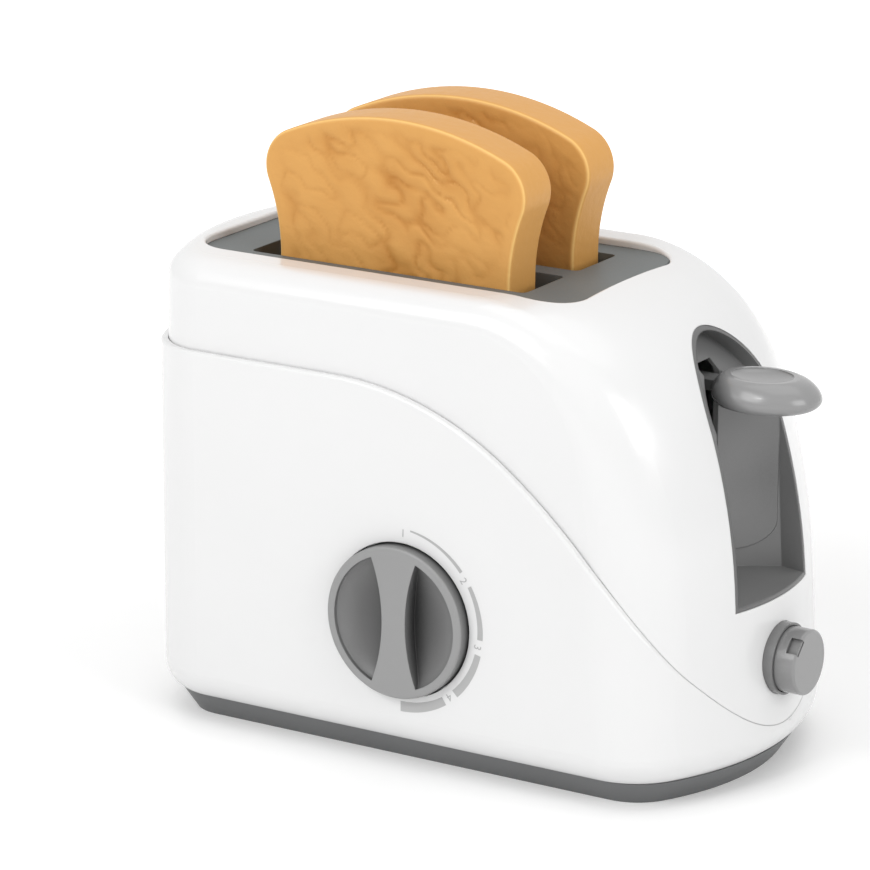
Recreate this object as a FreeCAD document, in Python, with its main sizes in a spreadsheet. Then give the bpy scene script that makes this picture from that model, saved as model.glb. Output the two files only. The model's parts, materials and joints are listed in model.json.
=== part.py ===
import FreeCAD, Part
import math
import os

# Toy pop-up toaster. Frame: +Z up, floor at Z = 0, +X towards the lever end, -Y towards the dial.
# The origin is the middle of the flat underside of the base plate. Millimetres throughout.

doc = FreeCAD.newDocument("toy_toaster")
sheet = doc.addObject("Spreadsheet::Sheet", "Sizes")
V = FreeCAD.Vector
PARTS = []


# ---------------------------------------------------------------- driving dimensions
SIZES = {
    # casing
    "left_end": 100.0,            # widest point of the left end, from the origin
    "right_end": 101.2,           # lever end at the foot of the casing
    "casing_half": 54.8,          # half width over the lower casing
    "skirt_step": 2.6,            # how far the lower casing stands proud of the upper one
    "wall": 2.2,                  # moulded wall of both casings
    "casing_top": 143.7,
    "casing_foot": 7.5,           # where the white casing ends and the base plate shows
    "end_lean": 3.6,              # lean of the lever end, degrees from upright
    "easing_bend": 190.0,         # long curve above the leaning part
    "bend_join": 18.5,            # lean where the long curve meets the shoulder, degrees
    "shoulder_bend": 56.0,
    "end_crown": 84.0,            # plan radius of the lever end
    "end_corner": 25.0,           # corner radius between the lever end and the sides
    "left_crown": 96.0,
    "left_corner": 22.0,
    "top_round": 8.5,
    "foot_roll": 9.5,             # radius of the edge that rolls in under the lower casing
    "foot_drop": 8.0,             # how far that edge reaches below its centre
    # seam between the casings
    "seam_height": 116.4,
    "seam_flat_end": -22.0,
    "seam_bend_upper": 100.0,
    "seam_turn": 36.0,            # degrees turned by the upper bend
    "seam_bend_lower": 190.0,
    "seam_gap": 0.15,
    "lip_depth": 4.0,             # lip of the upper casing behind the lower one
    "lip_reach": 79.0,            # the lip stops short of the lever end
    "lip_gap": 0.25,              # between the lip and the lower casing
    "seam_round": 0.9,            # eased top edge of the lower casing
    # top insert and its slots
    "insert_left": 84.6,
    "insert_right": 45.6,
    "insert_half": 36.15,
    "insert_rim": 0.9,            # eased edge of the opening
    "insert_drop": 6.0,           # how far the opening is cut below the casing's flat ceiling
    "insert_corner": 13.9,
    "insert_flange": 1.6,         # hidden rim that bears on the underside of the casing
    "insert_gap": 0.15,           # round the part that shows in the casing's opening
    "insert_plate": 2.2,
    "bed_gap": 0.3,                # between the casing's inner face and what lies against it
    "slot_left": 68.2,
    "slot_right": 27.3,
    "slot_inner": 3.7,
    "slot_outer": 26.7,
    "slot_round": 2.0,
    "collar_wall": 1.5,
    "collar_depth": 8.0,
    # toast chamber
    "chamber_wall": 1.8,
    "chamber_gap": 0.5,           # between a slot collar and the chamber wall
    "chamber_low": 46.0,
    "arm_slot_high": 108.0,
    "ear_low": 131.3,
    "ear_thick": 3.0,
    "ear_reach": 47.0,
    "ear_half": 4.5,
    "ear_left": 52.0,
    "ear_right": 24.0,
    "ear_screw_y": 43.0,
    # toast
    "toast_thick": 15.7,
    "toast_inner": 10.4,
    "toast_centre": -18.3,
    "toast_foot_half": 40.0,
    "toast_bulge_half": 45.1,
    "toast_bulge": 66.5,          # height of the bulge above the foot
    "toast_bulge_round": 12.0,
    "toast_crown_round": 95.0,
    "toast_neck_round": 60.0,
    "toast_foot_round": 6.0,
    "toast_edge": 1.4,
    # carriage, lever and springs
    "tray_top": 102.0,
    "tray_thick": 3.0,
    "tray_left": 66.0,
    "tray_inner": 3.0,
    "tray_outer": 27.4,
    "tray_rib": 1.0,
    "tray_rib_tall": 6.0,
    "neck_half": 6.8,
    "neck_centre": 17.0,
    "pass_gap": 0.8,              # clearance of a moving arm in its slot
    "bridge_near": 36.0,
    "bridge_thick": 3.0,
    "bridge_low": 86.0,
    "bridge_high": 118.0,
    "bridge_mid": 9.0,            # half width of the raised middle of the bridge
    "travel": 44.0,
    "rod_x": 42.5,
    "rod_y": 24.0,
    "rod_radius": 2.0,
    "sleeve_radius": 4.6,
    "sleeve_low": 92.0,
    "sleeve_high": 110.0,
    "running_gap": 0.08,
    "socket_gap": 0.05,
    "rod_socket": 12.0,
    "rod_cap": 8.0,
    "boss_wall": 2.0,
    "spring_wire": 0.5,           # wire radius
    "spring_mean": 3.6,           # coil radius to the middle of the wire
    "spring_turns": 9.0,
    "coil_sides": 12.0,           # straight lengths in one turn of a coil
    "button_coil": 0.4,           # wire radius of the button's spring
    "button_coil_turns": 6.0,
    "arm_half": 2.4,
    "arm_low": 115.0,
    "arm_high": 116.6,
    "arm_reach": 92.0,
    "arm_foot_half": 8.0,
    "arm_foot_low": 104.0,
    "arm_foot_high": 117.0,
    # lever handle
    "handle_centre": 92.5,
    "handle_long": 16.8,
    "handle_half": 13.0,
    "handle_top": 120.2,
    "handle_wide": 114.0,         # height of the widest part
    "handle_low": 110.4,
    "handle_neck_half": 3.6,
    "handle_neck_low": 114.2,
    "handle_neck_high": 117.4,
    "handle_neck_heel": 66.0,
    "dimple_long": 9.5,
    "dimple_half": 7.6,
    "dimple_deep": 1.8,
    # lever well
    "well_half": 20.2,            # half width of the opening at its foot
    "well_spring_half": 18.8,     # half width where the arch springs
    "well_low": 55.5,             # floor at the casing's outer face
    "well_rise": 0.075,           # slope of the floor up to the back
    "well_spring": 106.4,
    "well_high": 130.4,
    "well_back": 73.9,            # flat middle of the back, with the lever's slot
    "well_bend_x": 80.0,          # a point on the curved back
    "well_bend_y": 13.2,
    "well_side_x": 89.8,          # where the curved back meets the side wall
    "well_wall": 1.2,
    "well_gap": 0.15,             # round the rim, in the casing's opening
    "well_sink": 0.15,            # how far the rim lies below the casing's outer face
    "well_brow_low": 103.0,       # above this the niche leans back to the arch
    "well_brow_back": 62.5,
    "well_slot_half": 4.4,
    "well_slot_low": 62.5,
    "well_slot_high": 121.5,
    "pad_thick": 0.6,             # raised panel on the curved back
    "pad_low": 5.4,               # its lower edge above the floor
    "pad_half": 19.0,
    "pad_round": 8.0,
    # dial and clockwork
    "dial_x": 2.5,
    "dial_z": 45.8,
    "knob_radius": 23.1,
    "knob_proud": 4.0,
    "knob_gap": 0.5,
    "knob_back": 50.0,
    "knob_rim": 2.6,
    "knob_ease": 0.7,
    "scoop_lip": 0.5,             # bowls start this much outside the rim line
    "grip_half": 4.0,
    "grip_end_half": 7.6,
    "scoop_deep": 5.5,
    "hub_radius": 5.5,
    "spindle_radius": 2.5,
    "timer_front": 48.6,          # |Y| of the front face of the front plate
    "timer_back": 32.8,           # |Y| of the back face of the back plate
    "timer_plate": 1.2,
    "tooth": 1.0,                 # gear module
    "tooth_gap": 0.14,            # how far each flank is thinned for backlash
    "main_teeth": 28.0,
    "second_teeth": 24.0,
    "pinion_teeth": 8.0,
    "wheel_thick": 2.0,
    "layer_gap": 0.6,
    "arbor_radius": 1.0,
    "third_angle": 250.0,
    "fly_reach": 5.2,
    "fly_thick": 1.2,
    "coil_first": 3.6,            # first half turn of the mainspring
    "coil_step": 1.1,
    "coil_strip": 0.4,
    "coil_wide": 4.0,
    "cam_radius": 8.0,
    "cam_lift": 3.0,
    "pillar_radius": 2.0,
    "front_left": 33.0,
    "front_right": 38.0,
    "front_low": 20.0,
    "front_high": 72.0,
    "back_left": 27.0,
    "back_right": 25.0,
    "back_low": 19.5,
    "back_high": 62.0,
    "fixing_in": 3.6,             # from a plate corner to its fixing
    # stop button
    "button_z": 36.0,
    "button_radius": 9.8,
    "button_notch": 5.0,          # notch in the button's rim
    "notch_deep": 2.0,
    "notch_long": 3.4,
    "button_face": 108.5,
    "button_tail": 90.0,
    "button_wall": 1.6,
    "button_travel": 4.0,
    "button_rim": 0.8,
    "bezel_radius": 10.7,
    "bezel_face": 101.8,
    "bezel_gap": 0.15,
    "bezel_flange": 12.8,
    "bezel_front": 94.6,
    "bezel_step": 92.0,
    "bezel_back": 83.0,
    "bezel_bore": 10.9,
    "stem_radius": 2.6,
    # catch
    "catch_x": 50.0,
    "catch_z": 20.0,
    "catch_half": 3.5,
    "catch_thick": 3.0,
    "catch_foot": 4.0,
    "catch_nose": 3.0,
    "nose_tall": 4.0,
    "catch_gap": 0.4,
    "catch_pin": 1.5,
    "catch_ear": 2.4,
    "catch_ear_half": 5.0,
    "strike_low": 86.0,
    "strike_lip": 4.0,
    "strike_high": 99.0,
    "strike_half": 3.0,
    # base plate and fixings
    "base_flare": 5.0,            # how far the base plate tapers in towards the floor
    "base_skin": 2.2,
    "base_rib": 1.8,
    "base_rib_tall": 3.0,
    "base_gap": 0.25,
    "opening_inset": 8.5,         # inset of the casing's lower opening from its widest outline
    "post_radius": 3.4,
    "post_left": 77.5,
    "post_right": 64.0,
    "post_y": 39.0,
    "post_low": 7.2,
    "notch_gap": 0.3,
    "screw_radius": 1.5,
    "screw_head": 2.8,
    "screw_head_tall": 1.8,
    "screw_long": 12.0,
    "small_screw": 1.1,
    "small_head": 2.1,
    "small_head_tall": 1.3,
    "small_long": 7.0,
    "thread_gap": 0.03,
}
for row, (alias, value) in enumerate(SIZES.items(), 1):
    sheet.set("A%d" % row, alias)
    sheet.set("B%d" % row, str(value))
    sheet.setAlias("B%d" % row, alias)
doc.recompute()


def val(alias):
    """Read a driving dimension in millimetres or degrees."""
    return float(getattr(sheet, alias))


# ---------------------------------------------------------------- small helpers
def expr(obj, prop, text):
    """Bind a property to the sheet. A bare alias in the text is written as <alias>."""
    obj.setExpression(prop, text.replace("<", "Sizes.").replace(">", ""))


def place(obj, x="0", y="0", z="0"):
    for axis, text in (("x", x), ("y", y), ("z", z)):
        expr(obj, "Placement.Base.%s" % axis, "(%s) * 1 mm" % text)
    return obj


def turn(obj, axis, angle):
    """Point the Z axis of a primitive along another axis."""
    obj.Placement = FreeCAD.Placement(obj.Placement.Base, FreeCAD.Rotation(axis, angle))
    return obj


ALONG_X = (V(0, 1, 0), 90)
ALONG_Y = (V(1, 0, 0), -90)


def block(name, x0, x1, y0, y1, z0, z1):
    """A box between two corners, each given as an expression."""
    b = doc.addObject("Part::Box", name)
    expr(b, "Length", "(%s) - (%s)" % (x1, x0))
    expr(b, "Width", "(%s) - (%s)" % (y1, y0))
    expr(b, "Height", "(%s) - (%s)" % (z1, z0))
    return place(b, x0, y0, z0)


def rod(name, radius, tall, x="0", y="0", z="0", way=None):
    """A cylinder along Z, or along X or Y."""
    c = doc.addObject("Part::Cylinder", name)
    if way:
        turn(c, *way)
    expr(c, "Radius", radius)
    expr(c, "Height", tall)
    return place(c, x, y, z)


def fuse(name, shapes):
    f = doc.addObject("Part::MultiFuse", name)
    f.Shapes = shapes
    f.Refine = True
    return f


def cut(name, base, tools):
    c = doc.addObject("Part::Cut", name)
    c.Base = base
    c.Tool = tools[0] if len(tools) == 1 else fuse(name + "_tools", tools)
    c.Refine = True
    return c


def feature(name, shape):
    f = doc.addObject("Part::Feature", name)
    f.Shape = shape
    return f


def node(obj, label):
    """Register a finished piece under its own label, which is also its file name."""
    obj.Label = label
    PARTS.append(obj)
    return obj


def plane_of(body, role):
    return [f for f in body.Origin.OriginFeatures if f.Role == role][0]


def sketch_on(body, role, name):
    s = body.newObject("Sketcher::SketchObject", name)
    s.AttachmentSupport = [(plane_of(body, role), "")]
    s.MapMode = "FlatFace"
    return s


def bind_point(s, geo, pos, across, up):
    """Fix one point of a sketch by two expressions measured from the sketch's origin."""
    import Sketcher
    for kind, text in (("DistanceX", across), ("DistanceY", up)):
        i = s.addConstraint(Sketcher.Constraint(kind, -1, 1, geo, pos, 1.0))
        expr(s, "Constraints[%d]" % i, "(%s) * 1 mm" % text)


def ring_sketch(body, role, name, circles):
    """A sketch of circles, each (across, up, radius) as expressions."""
    import Sketcher
    s = sketch_on(body, role, name)
    for across, up, radius in circles:
        g = s.addGeometry(Part.Circle(V(0, 0, 0), V(0, 0, 1), 1), False)
        bind_point(s, g, 3, across, up)
        i = s.addConstraint(Sketcher.Constraint("Radius", g, 1.0))
        expr(s, "Constraints[%d]" % i, "(%s) * 1 mm" % radius)
    return s


def outline_sketch(body, role, name, points):
    """A closed outline of straight lines through points given as expressions."""
    import Sketcher
    s = sketch_on(body, role, name)
    count = len(points)
    for i in range(count):
        a = i * 2 * math.pi / count
        b = (i + 1) * 2 * math.pi / count
        start = V(math.cos(a), math.sin(a), 0)
        end = V(math.cos(b), math.sin(b), 0)
        s.addGeometry(Part.LineSegment(start, end), False)
    for i in range(count):
        s.addConstraint(Sketcher.Constraint("Coincident", i, 2, (i + 1) % count, 1))
    for i, (across, up) in enumerate(points):
        bind_point(s, i, 1, across, up)
    return s


def pad(body, sketch, name, length, both=False, back=False):
    p = body.newObject("PartDesign::Pad", name)
    p.Profile = sketch
    p.Midplane = both
    p.Reversed = back
    expr(p, "Length", "(%s) * 1 mm" % length)
    return p


def pocket(body, sketch, name, length, back=False):
    p = body.newObject("PartDesign::Pocket", name)
    p.Profile = sketch
    p.Reversed = back
    expr(p, "Length", "(%s) * 1 mm" % length)
    return p


def polar(centre, radius, degrees):
    a = math.radians(degrees)
    return (centre[0] + radius * math.cos(a), centre[1] + radius * math.sin(a))


# ---------------------------------------------------------------- casing forms
def end_profile(inset):
    """Side view of the lever end: a leaning line, a long easing bend and the shoulder.

    Returns the four points and the two bend centres as (x, z) pairs."""
    top = val("casing_top") - inset
    shoulder = val("shoulder_bend") - inset
    easing = val("easing_bend") - inset
    lean = val("end_lean")
    join = val("bend_join")
    centre = (0.0, top - shoulder)
    knee = polar(centre, shoulder, join)
    far = polar(knee, -easing, join)
    ankle = polar(far, easing, lean)
    foot_x = ankle[0] + (ankle[1] - val("casing_foot")) * math.tan(math.radians(lean))
    shift = val("right_end") - inset - foot_x
    moved = [(p[0] + shift, p[1]) for p in (centre, far, ankle, knee, (0.0, top))]
    return moved


def arc_poles(centre, radius, start, stop, upright):
    """Poles and weights of an arc in the XZ plane (upright) or the XY plane."""
    half = math.radians(stop - start) / 2
    weight = math.cos(half)
    spots = [polar(centre, radius, start),
             polar(centre, radius / weight, (start + stop) / 2),
             polar(centre, radius, stop)]
    if upright:
        return [V(p[0], 0, p[1]) for p in spots], [1, weight, 1]
    return [V(p[0], p[1], 0) for p in spots], [1, weight, 1]


def swept_patch(crown, profile):
    """The surface that one arc or line makes when it is carried along another without turning."""
    (p_crown, w_crown) = crown
    (p_side, w_side) = profile
    poles = [[p + q for q in p_side] for p in p_crown]
    weights = [[a * b for b in w_side] for a in w_crown]
    u = len(p_crown) - 1
    v = len(p_side) - 1
    surface = Part.BSplineSurface()
    surface.buildFromPolesMultsKnots(poles, [u + 1, u + 1], [v + 1, v + 1], [0, 1], [0, 1],
                                     False, False, u, v, weights)
    return surface.toShape()


def crowned_block(inset, step, low):
    """The casing's form before its edges are rounded: crowned lever end, flat top and sides."""
    half = val("casing_half") - step - inset
    crown = val("end_crown") - inset
    spread = math.degrees(math.asin(half / crown))
    back = math.sqrt(crown ** 2 - half ** 2) - crown
    centre, far, ankle, knee, top = end_profile(inset)
    slope = math.tan(math.radians(val("end_lean")))
    foot = (ankle[0] + (ankle[1] - low) * slope, low)
    arc = arc_poles((-crown, 0), crown, -spread, spread, False)
    lean_line = ([V(foot[0], 0, foot[1]), V(ankle[0], 0, ankle[1])], [1, 1])
    easing = val("easing_bend") - inset
    shoulder = val("shoulder_bend") - inset
    ease_arc = arc_poles(far, easing, val("end_lean"), val("bend_join"), True)
    knee_arc = arc_poles(centre, shoulder, val("bend_join"), 90, True)
    faces = [swept_patch(arc, part) for part in (lean_line, ease_arc, knee_arc)]
    left = -val("left_end") - 40

    def side(y):
        def p(q):
            return V(q[0] + back, y, q[1])
        mid_ease = polar(far, easing, (val("end_lean") + val("bend_join")) / 2)
        mid_knee = polar(centre, shoulder, (val("bend_join") + 90) / 2)
        edges = [Part.LineSegment(p(foot), p(ankle)).toShape(),
                 Part.Arc(p(ankle), p(mid_ease), p(knee)).toShape(),
                 Part.Arc(p(knee), p(mid_knee), p(top)).toShape(),
                 Part.LineSegment(p(top), V(left, y, top[1])).toShape(),
                 Part.LineSegment(V(left, y, top[1]), V(left, y, low)).toShape(),
                 Part.LineSegment(V(left, y, low), p(foot)).toShape()]
        return Part.Face(Part.Wire(edges))

    def level(x_mid, z):
        a = V(x_mid + back, -half, z)
        b = V(x_mid + back, half, z)
        edges = [Part.Arc(a, V(x_mid, 0, z), b).toShape(),
                 Part.LineSegment(b, V(left, half, z)).toShape(),
                 Part.LineSegment(V(left, half, z), V(left, -half, z)).toShape(),
                 Part.LineSegment(V(left, -half, z), a).toShape()]
        return Part.Face(Part.Wire(edges))

    high = top[1]
    wall = Part.Face(Part.makePolygon([V(left, -half, low), V(left, half, low),
                                       V(left, half, high), V(left, -half, high),
                                       V(left, -half, low)]))
    faces += [side(half), side(-half), level(top[0], high), level(foot[0], low), wall]
    shell = Part.makeShell(faces)
    shell.sewShape()
    solid = Part.makeSolid(Part.Shell(shell.Faces))
    if solid.Volume < 0:
        solid.reverse()
    return solid


def left_plan(inset, step, low, high):
    """Plan outline of the left end, crowned and with round corners, as an upright solid."""
    half = val("casing_half") - step - inset
    crown = val("left_crown") - inset
    corner = val("left_corner") - step - inset
    left = -val("left_end") + step + inset
    reach = math.sqrt((crown - corner) ** 2 - (half - corner) ** 2)
    axis = left + crown
    knuckle = (axis - reach, half - corner)
    turn_at = math.degrees(math.atan2(knuckle[1], knuckle[0] - axis))
    far = 2 * val("right_end")
    join = polar((axis, 0), crown, turn_at)
    middle = polar(knuckle, corner, (turn_at + 90) / 2)

    def p(x, y):
        return V(x, y, low)
    edges = [Part.Arc(p(join[0], -join[1]), p(left, 0), p(*join)).toShape(),
             Part.Arc(p(*join), p(*middle), p(knuckle[0], half)).toShape(),
             Part.LineSegment(p(knuckle[0], half), p(far, half)).toShape(),
             Part.LineSegment(p(far, half), p(far, -half)).toShape(),
             Part.LineSegment(p(far, -half), p(knuckle[0], -half)).toShape(),
             Part.Arc(p(knuckle[0], -half), p(middle[0], -middle[1]), p(join[0], -join[1])).toShape()]
    return Part.Face(Part.Wire(edges)).extrude(V(0, 0, high - low))


def rounded_form(name, inset, step, low):
    """Casing form with its corners and top edges rounded; the corner fades towards the top."""
    solid = crowned_block(inset, step, low).common(left_plan(inset, step, low - 1,
                                                             val("casing_top") + 1))
    base = feature(name + "_block", solid)
    half = val("casing_half") - step - inset
    high = val("casing_top") - inset
    knee_z = end_profile(inset)[3][1]
    top_radius = val("top_round") - inset
    corner = val("end_corner") - inset
    def radius_at(z):
        """Corner radius at a height: full on the leaning part, fading out over the shoulder."""
        if z > high - 1:
            return top_radius
        return 0.8 * corner if z > knee_z - 1 else corner

    chain = []
    for i, edge in enumerate(solid.Edges):
        box = edge.BoundBox
        on_side = abs(abs(box.YMin) - half) < 1e-3 and box.YLength < 1e-3
        on_top = box.ZMin > high - 1e-3
        if on_top and box.XMin < 0:
            chain.append((i + 1, top_radius, top_radius))
        elif on_side and box.XMax > 0 and box.ZLength > 1:
            radii = [radius_at(box.ZMin), radius_at(box.ZMax)]
            if box.YMin > 0:
                radii.reverse()       # the chain runs up one side and down the other
            chain.append((i + 1, radii[0], radii[1]))
    rounded = doc.addObject("Part::Fillet", name)
    rounded.Base = base
    rounded.Edges = chain
    doc.recompute()
    return rounded


def seam_solid(drop, reach, name):
    """Everything below the seam, lowered by drop and cut off at reach."""
    left = -val("left_end") - 20
    half = 2 * val("casing_half")
    high = val("seam_height") - drop
    first = val("seam_bend_upper")
    turn_by = val("seam_turn")
    second = val("seam_bend_lower")
    upper = (val("seam_flat_end"), high - first)
    knee = polar(upper, first, 90 - turn_by)
    lower = polar(knee, -second, 90 - turn_by)
    stop = val("right_end") + 6
    stop_turn = math.degrees(math.acos((stop - lower[0]) / second))
    end = polar(lower, second, stop_turn)
    mid_upper = polar(upper, first, 90 - turn_by / 2)
    mid_lower = polar(lower, second, (90 - turn_by + stop_turn) / 2)

    def p(q):
        return V(q[0], half, q[1])
    start = (upper[0], high)
    edges = [Part.LineSegment(p((left, high)), p(start)).toShape(),
             Part.Arc(p(start), p(mid_upper), p(knee)).toShape(),
             Part.Arc(p(knee), p(mid_lower), p(end)).toShape(),
             Part.LineSegment(p(end), p((end[0], -5))).toShape(),
             Part.LineSegment(p((end[0], -5)), p((left, -5))).toShape(),
             Part.LineSegment(p((left, -5)), p((left, high))).toShape()]
    solid = Part.Face(Part.Wire(edges)).extrude(V(0, -2 * half, 0))
    keep = Part.makeBox(reach - left, 2 * half, high + 10, V(left, -half, -6))
    return feature(name, solid.common(keep))


def plan_wire(inset, z):
    """Outline of the casing's foot in plan, drawn in from its widest by inset."""
    half = val("casing_half") - inset
    ends = []
    for tip, crown, corner, way in ((-val("left_end") + inset, val("left_crown") - inset,
                                     val("left_corner") - inset, -1),
                                    (val("right_end") - inset, val("end_crown") - inset,
                                     val("end_corner") - inset, 1)):
        axis = tip - way * crown
        reach = math.sqrt((crown - corner) ** 2 - (half - corner) ** 2)
        knuckle = (reach, half - corner)
        lean = math.degrees(math.atan2(knuckle[1], knuckle[0]))
        join = polar((0, 0), crown, lean)
        middle = polar(knuckle, corner, (lean + 90) / 2)
        ends.append([V(axis + way * q[0], q[1], z) for q in (join, middle, (reach, half))]
                    + [V(tip, 0, z)])
    (lj, lm, ls, lt), (rj, rm, rs, rt) = ends

    def other(q):
        return V(q.x, -q.y, q.z)
    edges = [Part.Arc(other(lj), lt, lj), Part.Arc(lj, lm, ls), Part.LineSegment(ls, rs),
             Part.Arc(rs, rm, rj), Part.Arc(rj, rt, other(rj)),
             Part.Arc(other(rj), other(rm), other(rs)), Part.LineSegment(other(rs), other(ls)),
             Part.Arc(other(ls), other(lm), other(lj))]
    return Part.Wire([edge.toShape() for edge in edges])


def plan_block(name, inset, low, high, top_inset=None):
    """An upright or tapering solid on the casing's foot outline."""
    top_inset = inset if top_inset is None else top_inset
    solid = Part.makeLoft([plan_wire(inset, low), plan_wire(top_inset, high)], True, True)
    return feature(name, solid)


def straight_edges(shape, way, test):
    """Numbers of the straight edges along a direction whose middle passes a test."""
    found = []
    for i, edge in enumerate(shape.Edges):
        if edge.Curve.TypeId != "Part::GeomLine":
            continue
        if edge.tangentAt(edge.FirstParameter).cross(way).Length > 0.3:
            continue
        if test(edge.valueAt((edge.FirstParameter + edge.LastParameter) / 2)):
            found.append(i + 1)
    return found


def fillet(name, base, numbers, radius):
    f = doc.addObject("Part::Fillet", name)
    f.Base = base
    f.Edges = [(n, radius, radius) for n in numbers]
    return f


def round_box(name, x0, x1, y0, y1, z0, z1, radius):
    """A box whose upright edges are rounded."""
    b = block(name + "_box", x0, x1, y0, y1, z0, z1)
    doc.recompute()
    return fillet(name, b, straight_edges(b.Shape, V(0, 0, 1), lambda p: True), radius)


def screw(name, x, y, z, radius, head, head_tall, long, way=None, back=False):
    """A round-headed screw whose head sits at the given place; the shank runs up the axis."""
    if way is None:
        parts = [rod(name + "_head", head, head_tall, x, y, "%s - %s" % (z, head_tall)),
                 rod(name + "_shank", radius, long, x, y, z)]
    else:
        parts = [rod(name + "_head", head, head_tall, x, y, z, way),
                 rod(name + "_shank", radius, long, x, "%s - (%s)" % (y, long), z, way)]
    return fuse(name, parts)


# ---------------------------------------------------------------- casings
foot = val("casing_foot")
roll = val("foot_roll")
wall = val("wall")
foot_inset = roll - math.sqrt(roll ** 2 - val("foot_drop") ** 2)

outer_low = rounded_form("outer_low", 0.0, 0.0, foot + val("foot_drop") - roll)
inner_low = rounded_form("inner_low", wall, 0.0, foot + wall)
outer_high = rounded_form("outer_high", 0.0, val("skirt_step"), 0.0)
inner_high = rounded_form("inner_high", wall, val("skirt_step"), -1.0)
bed = rounded_form("bed", wall + val("bed_gap"), val("skirt_step"), -1.0)
lip_room = rounded_form("lip_room", wall + val("lip_gap"), 0.0, foot + wall)


def rolled_foot(name, form, radius):
    """Round the bottom edge of a casing form."""
    low = form.Shape.BoundBox.ZMin
    numbers = []
    for i, edge in enumerate(form.Shape.Edges):
        points = [edge.valueAt(t).z for t in (edge.FirstParameter, edge.LastParameter)]
        middle = edge.valueAt((edge.FirstParameter + edge.LastParameter) / 2).z
        lowest = min(face.CenterOfMass.z for face in form.Shape.Faces)
        if max(points + [middle]) < lowest + 1e-3:
            numbers.append(i + 1)
    return fillet(name, form, numbers, radius)


skirt_outer = rolled_foot("skirt_outer", outer_low, roll)
skirt_inner = rolled_foot("skirt_inner", inner_low, roll - wall)
doc.recompute()

below_seam = seam_solid(val("seam_gap"), 2 * val("right_end"), "below_seam")
below_lip = seam_solid(val("lip_depth"), val("lip_reach"), "below_lip")
below_end = seam_solid(0.0, 2 * val("right_end"), "below_end")
end_zone = block("end_zone", "<lip_reach>", "<right_end> + 30", "-2 * <casing_half>",
                 "2 * <casing_half>", "-10", "<casing_top>")
below_end_zone = doc.addObject("Part::Common", "below_end_zone")
below_end_zone.Base = below_end
below_end_zone.Tool = end_zone
under_foot = block("under_foot", "-2 * <left_end>", "2 * <right_end>", "-2 * <casing_half>",
                   "2 * <casing_half>", "-20", "<casing_foot>")
foot_opening = plan_block("foot_opening", val("opening_inset"), foot - 2, foot + 2 * wall)

# the dial's hole and the bosses that carry the clockwork
knob_hole = rod("knob_hole", "<knob_radius> + <knob_gap>", "20", "<dial_x>",
                "-<casing_half> - 5", "<dial_z>", ALONG_Y)
fixings = [("-<front_left> + <fixing_in>", "<front_low> + <fixing_in>"),
           ("<front_right> - <fixing_in>", "<front_low> + <fixing_in>"),
           ("-<front_left> + <fixing_in>", "<front_high> - <fixing_in>"),
           ("<front_right> - <fixing_in>", "<front_high> - <fixing_in>")]
timer_bosses = []
timer_pilots = []
for i, (fx, fz) in enumerate(fixings):
    timer_bosses.append(rod("timer_boss_%d" % i, "<small_screw> + <boss_wall>",
                            "<casing_half> - <wall> / 2 - <timer_front>", fx,
                            "-<casing_half> + <wall> / 2", fz, ALONG_Y))
    timer_pilots.append(rod("timer_pilot_%d" % i, "<small_screw> + <thread_gap>",
                            "<casing_half> - <wall> / 2 - <timer_front> + 1", fx,
                            "-<casing_half> + <wall> / 2", fz, ALONG_Y))
skirt_shell = cut("skirt_shell", skirt_outer, [skirt_inner])
skirt_low = doc.addObject("Part::Common", "skirt_low")
skirt_low.Base = skirt_shell
skirt_low.Tool = below_seam
doc.recompute()


def shared_edges(base, first, second):
    """Numbers of the edges of one shape that lie in the skins of two others."""
    skins = [Part.makeCompound(s.Shape.Faces) for s in (first, second)]
    numbers = []
    for i, edge in enumerate(base.Shape.Edges):
        spots = [edge.valueAt(edge.FirstParameter + (edge.LastParameter - edge.FirstParameter) * k)
                 for k in (0.2, 0.5, 0.8)]
        if all(Part.Vertex(spot).distToShape(skin)[0] < 1e-3 for spot in spots for skin in skins):
            numbers.append(i + 1)
    return numbers


top_edge = shared_edges(skirt_low, skirt_outer, below_seam)
skirt_eased = fillet("skirt_eased", skirt_low, top_edge, val("seam_round"))
skirt_bossed = fuse("skirt_bossed", [skirt_eased] + timer_bosses)
node(cut("skirt", skirt_bossed, [under_foot, foot_opening, knob_hole] + timer_pilots),
     "lower_casing")

# ---------------------------------------------------------------- lever well
def arch(name, grow):
    """The opening's outline, slightly tapering sides under an elliptical arch, run along X."""
    low_half = val("well_half") + grow
    half = val("well_spring_half") + grow
    spring = val("well_spring")
    rise = val("well_high") + grow - spring
    taper = (low_half - half) / (spring - val("well_low"))
    foot_z = val("well_low") - 20
    foot_half = low_half + 20 * taper
    far = val("right_end")
    legs = [Part.LineSegment(V(40, -half, spring), V(40, -foot_half, foot_z)).toShape(),
            Part.LineSegment(V(40, -foot_half, foot_z), V(40, foot_half, foot_z)).toShape(),
            Part.LineSegment(V(40, foot_half, foot_z), V(40, half, spring)).toShape()]
    bow = Part.Ellipse(V(0, 0, 0), rise, half) if rise > half else Part.Ellipse(V(0, 0, 0), half, rise)
    curve = bow.toShape(-math.pi / 2, math.pi / 2) if rise > half else bow.toShape(0, math.pi)
    lie = FreeCAD.Rotation(V(0, 1, 0), -90) if rise > half else FreeCAD.Rotation(V(1, 1, 1), 120)
    curve.Placement = FreeCAD.Placement(V(40, 0, spring), lie)
    outline = Part.Wire(Part.__sortEdges__(legs + [curve]))
    return feature(name, Part.Face(outline).extrude(V(far, 0, 0)))


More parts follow.
